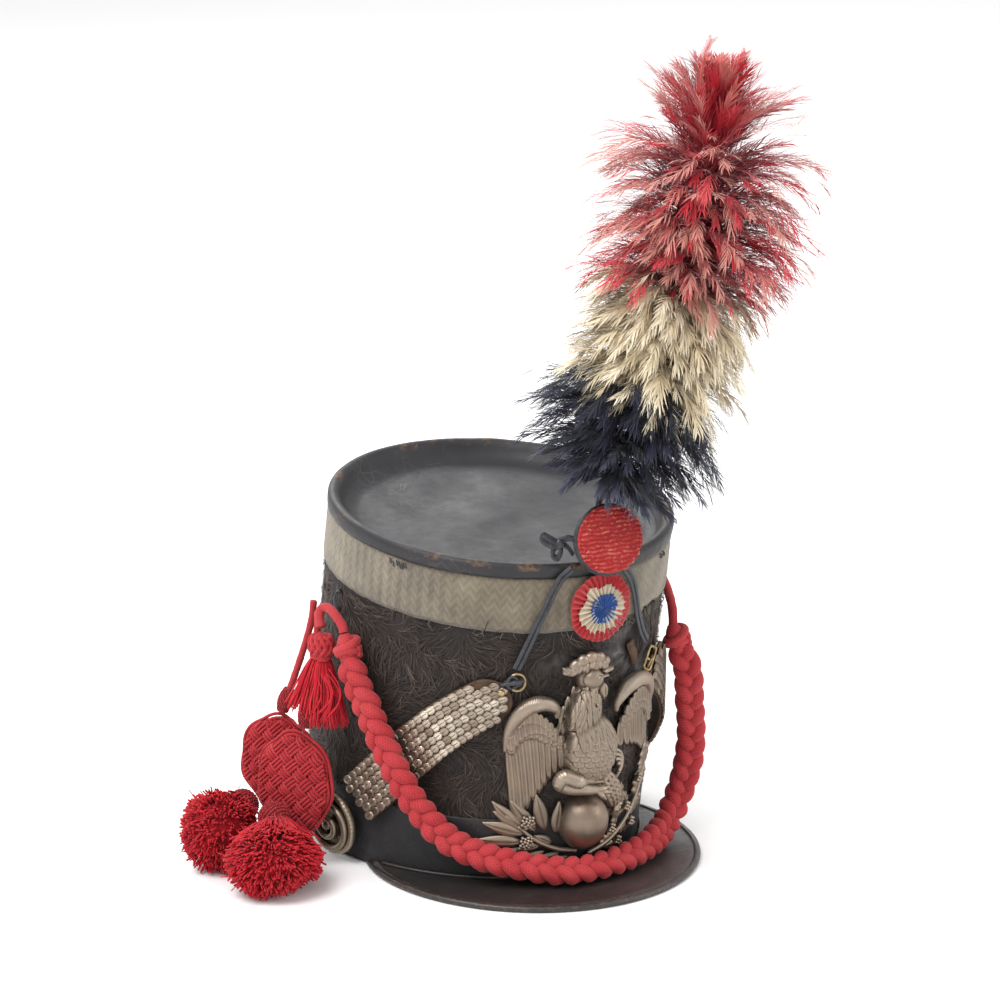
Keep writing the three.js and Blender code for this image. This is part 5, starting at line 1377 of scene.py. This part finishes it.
def blob(g, u, v, w, a, b, c, nu=24, nv=14, rot=0.0, tone=0.5):
    """An ellipsoid drawn on the flat plate and bent with it."""
    lat = (np.arange(nv) + 0.5) / nv * PI
    q = np.arange(nu) / nu * TAU
    X, Y, Z = np.sin(lat)[:, None] * np.cos(q), np.sin(lat)[:, None] * np.sin(q), np.cos(lat)[:, None] + 0 * q
    cr, sr = math.cos(rot * D2R), math.sin(rot * D2R)
    x, y = X * a * cr - Y * b * sr, X * a * sr + Y * b * cr
    P = pl(u + x, v + y, np.maximum(w + Z * c, 0.05))
    V, F = grid(P, cv=True)
    V = np.vstack([V, P[0].mean(0), P[-1].mean(0)])
    g.add(V, [F[:, ::-1], fan(0, nu, len(V) - 2, False), fan((nv - 1) * nu, nu, len(V) - 1, True)], None, tone)


r = np.random.default_rng(121)
g = Geo()
# thin ground sheets of the wings and wreath, under the modelling
for bu, bv, bw, a, b, c, rot in BL:
    blob(g, bu, bv, bw * 0.6, a, b, c + bw * 0.35, 40, 22, rot)


def wing(sgn, starts, ends, roll, tiers):
    S, E = np.array(starts, float), np.array(ends, float)
    n = len(S)
    d = E - S
    L = np.hypot(d[:, 0], d[:, 1]); an = np.arctan2(d[:, 1], d[:, 0])
    order = np.arange(n)
    wdt = 6.2 + 0 * L
    petals(g, S, an, L, wdt, h0=0.9 + 0.22 * order, lift=0.7, arch=0.95, shape="feather", drape=False, rib=0.35, M=13, thick=1.0, bend=sgn * 0.10)
    for (f0, f1, wd, hh, m) in tiers:
        t = (np.arange(m) + 0.5) / m
        Sx = np.stack([np.interp(t, np.linspace(0, 1, n), S[:, 0]), np.interp(t, np.linspace(0, 1, n), S[:, 1])], -1)
        Ex = np.stack([np.interp(t, np.linspace(0, 1, n), E[:, 0]), np.interp(t, np.linspace(0, 1, n), E[:, 1])], -1)
        dd = Ex - Sx
        LL = np.hypot(dd[:, 0], dd[:, 1]); aa = np.arctan2(dd[:, 1], dd[:, 0])
        cut = np.minimum((f1 - f0) * LL, 15)
        petals(g, Sx + dd * f0, aa, np.maximum(cut, 4.5), wd, h0=hh, lift=0.8, arch=0.8, shape="feather" if cut.mean() > 7.5 else "scale", drape=False, rib=0.25, M=12, thick=1.4)
    stem(g, roll, [1.3, 3.4, 4.4, 4.2, 3.4, 2.4, 1.2], 3.0)


wing(-1, [(-51.5, 94), (-49.5, 100), (-46, 104), (-42, 106), (-38, 106), (-34, 104), (-30, 101), (-26, 97), (-21, 91), (-15, 86)],
     [(-42, 41.5), (-38.5, 44), (-35.5, 48), (-32.5, 53), (-29.5, 57.5), (-27, 62), (-24.5, 66), (-21.5, 69), (-18, 71.5), (-13, 72)],
     [(-24.5, 104.5, 3.0), (-25, 109.5, 4.2), (-31, 114.0, 4.6), (-39, 113.8, 4.4), (-46, 107.5, 4.0), (-50.5, 98, 3.2), (-52, 84, 2.2)],
     [(0.0, 0.52, 6.0, 2.3, 11), (-0.02, 0.36, 5.4, 3.0, 12), (-0.04, 0.22, 5.0, 3.6, 12), (-0.10, 0.08, 4.6, 4.0, 12)])
wing(1, [(51.5, 96), (50, 101), (47, 105.5), (43, 108.5), (38.5, 110), (34, 109.5), (29.5, 106.5), (25.5, 101.5), (21, 94)],
     [(57, 57.5), (54.5, 60), (51, 63.5), (47.5, 67), (43.5, 70), (39, 72.5), (34, 74.5), (28.5, 76), (22, 77.5)],
     [(15.5, 101.5, 3.0), (15.5, 107, 4.0), (21, 114.5, 4.6), (30, 117.8, 4.6), (40, 115.0, 4.2), (48, 106.5, 3.4), (53.5, 93, 2.2)],
     [(0.0, 0.55, 6.0, 2.3, 10), (-0.02, 0.38, 5.4, 3.0, 11), (-0.04, 0.22, 5.0, 3.6, 11)])
# breast scales, rows from below upwards
rows = 0
for v in np.arange(60.5, 96, 3.6):
    half = 16.0 * math.sqrt(max(0.05, 1 - ((v - 80) / 24.0) ** 2))
    n = max(3, int(half * 2 / 4.9))
    uu = -2.5 + (np.arange(n) + 0.5 * (rows % 2) - (n - 0.5) / 2) * 4.9
    uu = uu[np.abs(uu + 2.5) < half]
    petals(g, np.stack([uu, np.full(len(uu), v + 3.6)], -1), -PI / 2 + (uu + 2.5) * 0.010, 7.0, 6.0, h0=0.1, lift=1.1, arch=0.65, rib=0.12, M=9, J=7, tone=0.5)
    rows += 1
# neck hackles in tiers
for t, (v0, u0, u1, LL, wd, nn) in enumerate(((96, -19, 8, 15, 4.8, 9), (103, -19.5, 3.5, 15, 4.4, 9), (110, -19, 1.0, 14, 4.0, 9), (116, -17, -0.5, 12, 3.6, 8), (121, -13.5, -1, 10, 3.2, 7))):
    uu = np.linspace(u0, u1, nn) + r.normal(0, 0.3, nn)
    petals(g, np.stack([uu, v0 + 3 + r.normal(0, 0.7, nn) - 0.02 * (uu + 8) ** 2], -1), -PI / 2 + 0.022 * (uu + 8) + r.normal(0, 0.05, nn), LL * r.uniform(0.9, 1.12, nn), wd, h0=0.3, lift=1.1, arch=0.9, shape="hackle", rib=0.25, M=12, J=7, bend=r.normal(0.12, 0.12, nn))
# head, comb, beak, wattles
blob(g, -5.5, 127.5, 5.0, 6.6, 6.6, 5.4, 28, 16)
for k, (u, v, a, b, rot) in enumerate(((-20.5, 134.5, 4.0, 2.6, 20), (-17, 137.5, 4.2, 3.2, 50), (-12.5, 139.8, 4.0, 3.6, 75), (-7.5, 141, 3.8, 4.0, 95), (-2.5, 140.2, 3.6, 3.6, 105), (1.6, 137.6, 3.0, 3.0, 120))):
    blob(g, u, v, 5.5, b, a, 2.7, 16, 10, rot - 90)
    blob(g, u * 0.86 - 0.6, v * 0.5 + 66.4, 5.2, 2.8, 3.8, 2.9, 14, 8, rot - 90)
petals(g, [(-19.5, 132.5), (-15, 132), (-10, 132), (-5, 132.5), (-0.5, 132.5)], [2.4, 2.1, 1.8, 1.55, 1.2], 7.5, 3.4, h0=7.0, lift=0.3, arch=0.8, shape="hackle", drape=False, rib=0.3, M=9, J=7)
petals(g, [(-1.5, 131.5)], 0.16, 9.6, 4.6, h0=6.6, lift=-1.2, arch=2.6, shape="leaf", drape=False, M=12, thick=3.5)
petals(g, [(-1.5, 128.6)], -0.12, 7.6, 3.4, h0=5.6, lift=-1.0, arch=2.0, shape="leaf", drape=False, M=12, thick=3.0)
blob(g, -4.2, 129.8, 10.0, 1.3, 1.2, 0.9, 14, 8)
q = np.linspace(0, TAU, 25)
tubes(g, pl(-4.2 + 2.1 * np.cos(q), 129.8 + 1.9 * np.sin(q), 9.7 + 0 * q), 0.4, 6, caps=False)
petals(g, [(-5.5, 125), (-0.5, 126)], [-1.62, -1.40], [13.5, 12.0], [5.6, 5.6], h0=8.4, lift=-0.4, arch=1.6, shape="leaf", drape=False, rib=-0.5, M=14, thick=4.0)
# legs
stem(g, [(-6, 66, 9), (-13, 66.5, 11.5), (-20, 69, 9.5), (-22, 65, 8.5), (-17.5, 62.5, 10), (-9, 61, 12.5), (-1, 59.4, 13.5)], [3.0, 4.6, 4.4, 4.0, 4.0, 3.2, 2.2], 9, n=60)
for k in range(7):
    petals(g, [(-21 + k * 2.9, 70.5 - k * 0.9)], -0.45, 7.0, 3.8, h0=11.4 + 1.6 * math.sin(k / 6 * PI), lift=0.6, arch=0.7, shape="hackle", drape=False, rib=0.2, M=9, J=7, bend=0.5)
for a, LL in ((-0.9, 9), (-0.35, 10), (0.15, 7)):
    stem(g, [(-3, 60, 13.6), (-3 + LL * 0.5 * math.cos(a), 60 + LL * 0.5 * math.sin(a), 15.2), (-3 + LL * math.cos(a), 60 + LL * math.sin(a), 15.0)], [1.9, 1.6, 0.7], 12, n=16)
for i in range(8):
    t = i / 7
    for j in range(-2, 3):
        petals(g, [(8 + 12 * t + j * (3.6 - 1.8 * t) * 0.9, 66 - 25 * t + j * (3.6 - 1.8 * t) * 0.42)], -1.12, 6.6, 4.6 - 1.4 * t, h0=0.4 + 0.05 * i, lift=1.0, arch=0.7, shape="hackle", rib=0.15, M=8, J=7)
for a in (-1.9, -1.35, -0.75, 0.0):
    stem(g, [(21, 41, 4.5), (21 + 3 * math.cos(a), 41 + 3 * math.sin(a), 5.4), (21 + 6.5 * math.cos(a), 41 + 6.5 * math.sin(a), 3.0)], [1.6, 1.4, 0.5], 4, n=12)
# tail scrolls at the right
for k, rad_t in enumerate((9.5, 7.2, 4.9, 2.6)):
    q = np.linspace(-1.2, 1.75, 26)
    tubes(g, pl(17 + rad_t * np.cos(q) * 0.95, 66.5 + rad_t * np.sin(q), 2.6 + 1.4 * k + 0 * q), 1.15, 8, parallel=True)
# globe
blob(g, -3.2, 36.8, 3.6, 14.3, 17.4, 14.3, 64, 34, tone=0.7)
# laurel
stem(g, [(-6, 18), (-18, 21), (-30, 27), (-42, 37)], [1.5, 1.4, 1.2, 0.7], 3.4)
LV = [(-30, 31, 28, 8.0, 128), (-35, 33, 25, 8.0, 146), (-36, 31, 27, 8.0, 162), (-37, 27, 27, 8.0, 178), (-33, 23, 27, 7.4, 196), (-25, 31, 27, 8.4, 108), (-19, 29, 22, 7.4, 90), (-24, 21, 27, 7.2, 205), (-14, 18, 22, 6.4, 197), (-27, 24, 15, 5.5, 186), (-40, 36, 24, 7, 138), (-12, 24, 19, 6.6, 104), (-9, 15, 17, 5.6, 200), (-20, 24, 14, 5.4, 150)]
LV = np.array(LV, float)
petals(g, LV[:, :2], LV[:, 4] * D2R, LV[:, 2] * 1.0, LV[:, 3], h0=1.4 + 0.32 * (np.arange(len(LV)) % 4), lift=0.9, arch=1.3, shape="leaf", drape=False, rib=-0.55, M=14, J=9, thick=1.3, bend=r.normal(0, 0.14, len(LV)))
for u, v in ((-37, 40), (-37, 27)):
    for k in range(17):
        a = k * 2.39996; rr_ = 0.98 * math.sqrt(k + 0.4)
        blob(g, u + rr_ * math.cos(a), v + rr_ * math.sin(a), 5.0 - 0.05 * k, 1.0, 1.0, 1.2, 9, 6)
# oak
stem(g, [(3, 14), (20, 19), (36, 29), (48, 42), (55, 58)], [1.4, 1.4, 1.2, 1.0, 0.7], 3.2)
OK_ = [(24, 24, 25, 9, 76), (31, 29, 24, 9, 100), (43, 38, 22, 9, 66), (50, 48, 24, 9, 84), (29, 19, 20, 8, 18), (40, 27, 19, 8, 34), (12, 16, 16, 7, 30), (15, 15, 17, 6.5, -4), (49, 40, 17, 7.5, 40), (37, 33, 17, 8, 122), (53, 52, 17, 7, 62)]
OK_ = np.array(OK_, float)
petals(g, OK_[:, :2], OK_[:, 4] * D2R, OK_[:, 2], OK_[:, 3], h0=1.5 + 0.32 * (np.arange(len(OK_)) % 4), lift=0.8, arch=1.3, shape="leaf", drape=False, rib=-0.5, lobes=4, M=22, J=9, thick=1.3, bend=r.normal(0, 0.2, len(OK_)))
for u, v in ((33, 36), (20, 26), (45, 50), (40, 24), (27, 16)):
    for k in range(7):
        a = k * 2.39996; rr_ = 1.15 * math.sqrt(k + 0.3)
        blob(g, u + rr_ * math.cos(a), v + rr_ * math.sin(a), 4.6, 1.25, 1.25, 1.3, 9, 6)
plate = new("cock_plate", g, MT["silver"], rep=("rooster_plate",))

# ---- chin scales -------------------------------------------------------------------------------
RUN = [(-30.5, 121), (-38, 113), (-47, 101), (-56, 85.5), (-65, 67), (-73, 50), (-79, 38)]
LEAD = curve([(a * D2R * 95, z, 0) for a, z in RUN], 600)[:, :2]
LT = unit(np.gradient(LEAD, axis=0)); LL_ = plen(np.c_[LEAD, np.zeros(600)])


def strap_pt(side, a, c, o, lift):
    """a mm along, c mm across, o above the strap's inner face."""
    f = np.clip(a / LL_, 0, 1)
    x = np.interp(f, np.linspace(0, 1, 600), LEAD[:, 0]); y = np.interp(f, np.linspace(0, 1, 600), LEAD[:, 1])
    tx = np.interp(f, np.linspace(0, 1, 600), LT[:, 0]); ty = np.interp(f, np.linspace(0, 1, 600), LT[:, 1])
    ex = a - f * LL_
    th = (x + tx * ex - ty * c) / 95.0
    return body(-side * th, y + ty * ex + tx * c, lift(f) + o)


LIFT = {-1: lambda f: 1.9 + 2.2 * smooth(f, 0.6, 1), 1: lambda f: 2.4 + 4.2 * smooth(f, 0.15, 0.6) * (1 - 0.6 * smooth(f, 0.75, 1))}


def strap(side, tag):
    lift = LIFT[side]
    W = 28.0
    g = Geo()
    n, m = 110, 15
    a = np.linspace(0, LL_, n)[:, None]
    s = a / LL_
    end = np.where(s < 0.12, np.sqrt(np.clip(1 - ((0.12 - s) / 0.122) ** 2, 0.02, 1)), 1)
    k = np.linspace(-1, 1, m)[None]
    wav = 0.16 * vnoise(a / 7 + 3, k * 2 + side * 5, 131)
    hw = W / 2 * end * (1 + 0.012 * vnoise(a / 5, 0 * a, 132))
    top = strap_pt(side, a + 0 * k, k * hw, 1.55 + wav + 0 * k, lift)
    bot = strap_pt(side, a + 0 * k, k * hw, 0.1 + wav + 0 * k, lift)
    P = np.concatenate([top, bot[:, ::-1]], 1)
    V, F = grid(P, cv=True)
    N = 2 * m
    A = np.zeros((n, N, 3)); A[..., 0] = a
    g.add(V, [F, np.arange(N)[None, ::-1], ((n - 1) * N + np.arange(N))[None]], A)
    # edge stitching
    for sg in (-1, 1):
        aa = np.arange(12, LL_ - 3, 2.4)
        p0, p1 = strap_pt(side, aa, sg * 13.4 + 0 * aa, 1.8, lift), strap_pt(side, aa + 1.5, sg * 13.4 + 0 * aa, 1.8, lift)
        tubes(g, np.stack([p0, (p0 + p1) / 2 + 0.06, p1], 1), 0.22, 5)
    new("strap_leather_" + tag, g, MT["brown"], rep=("chin_strap_" + ("R" if side < 0 else "L"),))
    # scales: round-ended plates in staggered rows, each with a slit
    g, gd = Geo(), Geo()
    rr_ = np.random.default_rng(140 + side)
    rowsN, pitch = 6, 4.55
    step = 4.75
    cols = int((LL_ - 3) / step)
    C0, K0, T0 = [], [], []
    for i in range(cols + 1):
        for j in range(rowsN):
            c = (j - (rowsN - 1) / 2) * pitch
            aa = 3.0 + i * step + (step / 2 if j % 2 else 0)
            f = aa / LL_
            lim = 13.0 * (math.sqrt(max(0, 1 - ((0.12 - f) / 0.122) ** 2)) if f < 0.12 else 1)
            if abs(c) + 1.6 > lim or aa > LL_ - 0.5:
                continue
            C0.append((aa, c)); T0.append(np.clip(rr_.normal(0.45, 0.33), 0, 1)); K0.append(rr_.normal(0, 0.08))
    C0, T0, K0 = np.array(C0), np.array(T0), np.array(K0)
    K = len(C0)
    q = np.arange(12) / 12 * TAU
    rings = [(1.0, 0.0), (1.0, 0.42), (0.86, 0.62), (0.45, 0.72), (0.02, 0.74)]
    V = []
    for rad, h in rings:
        la = rad * 3.15 * np.cos(q)[None] ; lc = rad * 2.45 * np.sin(q)[None]
        # flattened on the tucked side, rounded on the free side, tipped so that each overlaps the next
        ca, sa = np.cos(K0)[:, None], np.sin(K0)[:, None]
        A_ = C0[:, 0:1] + la * ca - lc * sa; Cc = C0[:, 1:2] + la * sa + lc * ca
        o = 2.15 + h + 0.26 * (-la / 3.15) + 0.0 * A_
        V.append(strap_pt(side, A_, Cc, o, lift))
    P = np.stack(V, 1)          # K, rings, 16, 3
    R_ = len(rings)
    i = np.arange(R_ - 1)[None, :, None] * 12; j = np.arange(12)[None, None]; o = np.arange(K)[:, None, None] * (R_ * 12)
    F = np.stack([o + i + j, o + i + (j + 1) % 12, o + i + 12 + (j + 1) % 12, o + i + 12 + j], -1).reshape(-1, 4)
    capb = (o[:, :, 0] + np.arange(12)[None, ::-1]); capt = (o[:, :, 0] + (R_ - 1) * 12 + np.arange(12)[None])
    g.add(P.reshape(-1, 3), [F, capb, capt], None, np.repeat(T0, R_ * 12))
    # rim of each scale
    q2 = np.linspace(0.35 * PI, 1.65 * PI, 12)
    A_ = C0[:, 0:1] + 2.75 * np.cos(q2)[None]; Cc = C0[:, 1:2] + 2.1 * np.sin(q2)[None]
    tubes(g, strap_pt(side, A_, Cc, 3.02 + 0.2 * (-np.cos(q2))[None] + 0 * A_, lift), 0.24, 5, tone=np.repeat(np.clip(T0 * 0.5 + 0.1, 0, 1), 1), caps=True)
    # slits
    sl = np.linspace(-1.5, 1.3, 4)
    A_ = C0[:, 0:1] + sl[None] - 0.2; Cc = C0[:, 1:2] + 0 * sl[None]
    tubes(gd, strap_pt(side, A_, Cc, 2.93 + 0 * A_, lift), 0.2, 5)
    new("scales_" + tag, g, MT["scale"], rep=("chin_scales_" + ("R" if side < 0 else "L"),))
    new("scale_slits_" + tag, gd, MT["thong"])


strap(-1, "right")
strap(1, "left")

# ---- bosses ------------------------------------------------------------------------------------
for side, tag in ((-1, "right"), (1, "left")):
    c = np.array([side * 86.4, -11, 22.0]); n = unit(np.array([side * 0.985, -0.13, -0.05]))
    Bm = basis(n, (0, 0, 1))
    g = Geo()
    turned(g, [(0.5, 6.9), (15.8, 6.9), (17.3, 7.5), (17.7, 8.8), (17.4, 10.2), (16.2, 11.2), (15.1, 11.0), (14.4, 10.2), (12, 9.8), (6, 10.2), (0.4, 10.4)], c, n, (0, 0, 1), 72)
    t = np.linspace(0, 1, 150)
    q = -side * (t * TAU * 1.9) + 1.1
    R_ = 13.6 * (1 - t) ** 0.85 + 2.4
    h = 10.6 + 3.0 * t
    tubes(g, np.stack([R_ * np.cos(q), R_ * np.sin(q), h], -1) @ Bm + c, 1.9 - 0.1 * t, 12, parallel=True)
    ellipsoids(g, [c + n * 13.6], [(3.2, 3.2, 1.7)], Bs=Bm[None], nu=24, nv=12)
    k = 46
    a = np.arange(k) / k * TAU
    ellipsoids(g, np.stack([16.9 * np.cos(a), 16.9 * np.sin(a), 9.9 + 0 * a], -1) @ Bm + c, np.tile((0.95, 0.75, 0.75), (k, 1)), nu=8, nv=5)
    new("boss_volute_" + tag, g, MT["boss"], rep=("boss_" + ("R" if side < 0 else "L"),))
    g = Geo()
    turned(g, [(6.0, 2.5), (8.0, 2.6), (8.2, 4.4), (7.9, 6.3), (6.0, 6.4)], c, n, (0, 0, 1), 36)
    new("boss_seat_" + tag, g, MT["brown"], rep=("boss_seat_" + ("R" if side < 0 else "L"),))

# ---- finish ------------------------------------------------------------------------------------
bpy.context.view_layer.update()
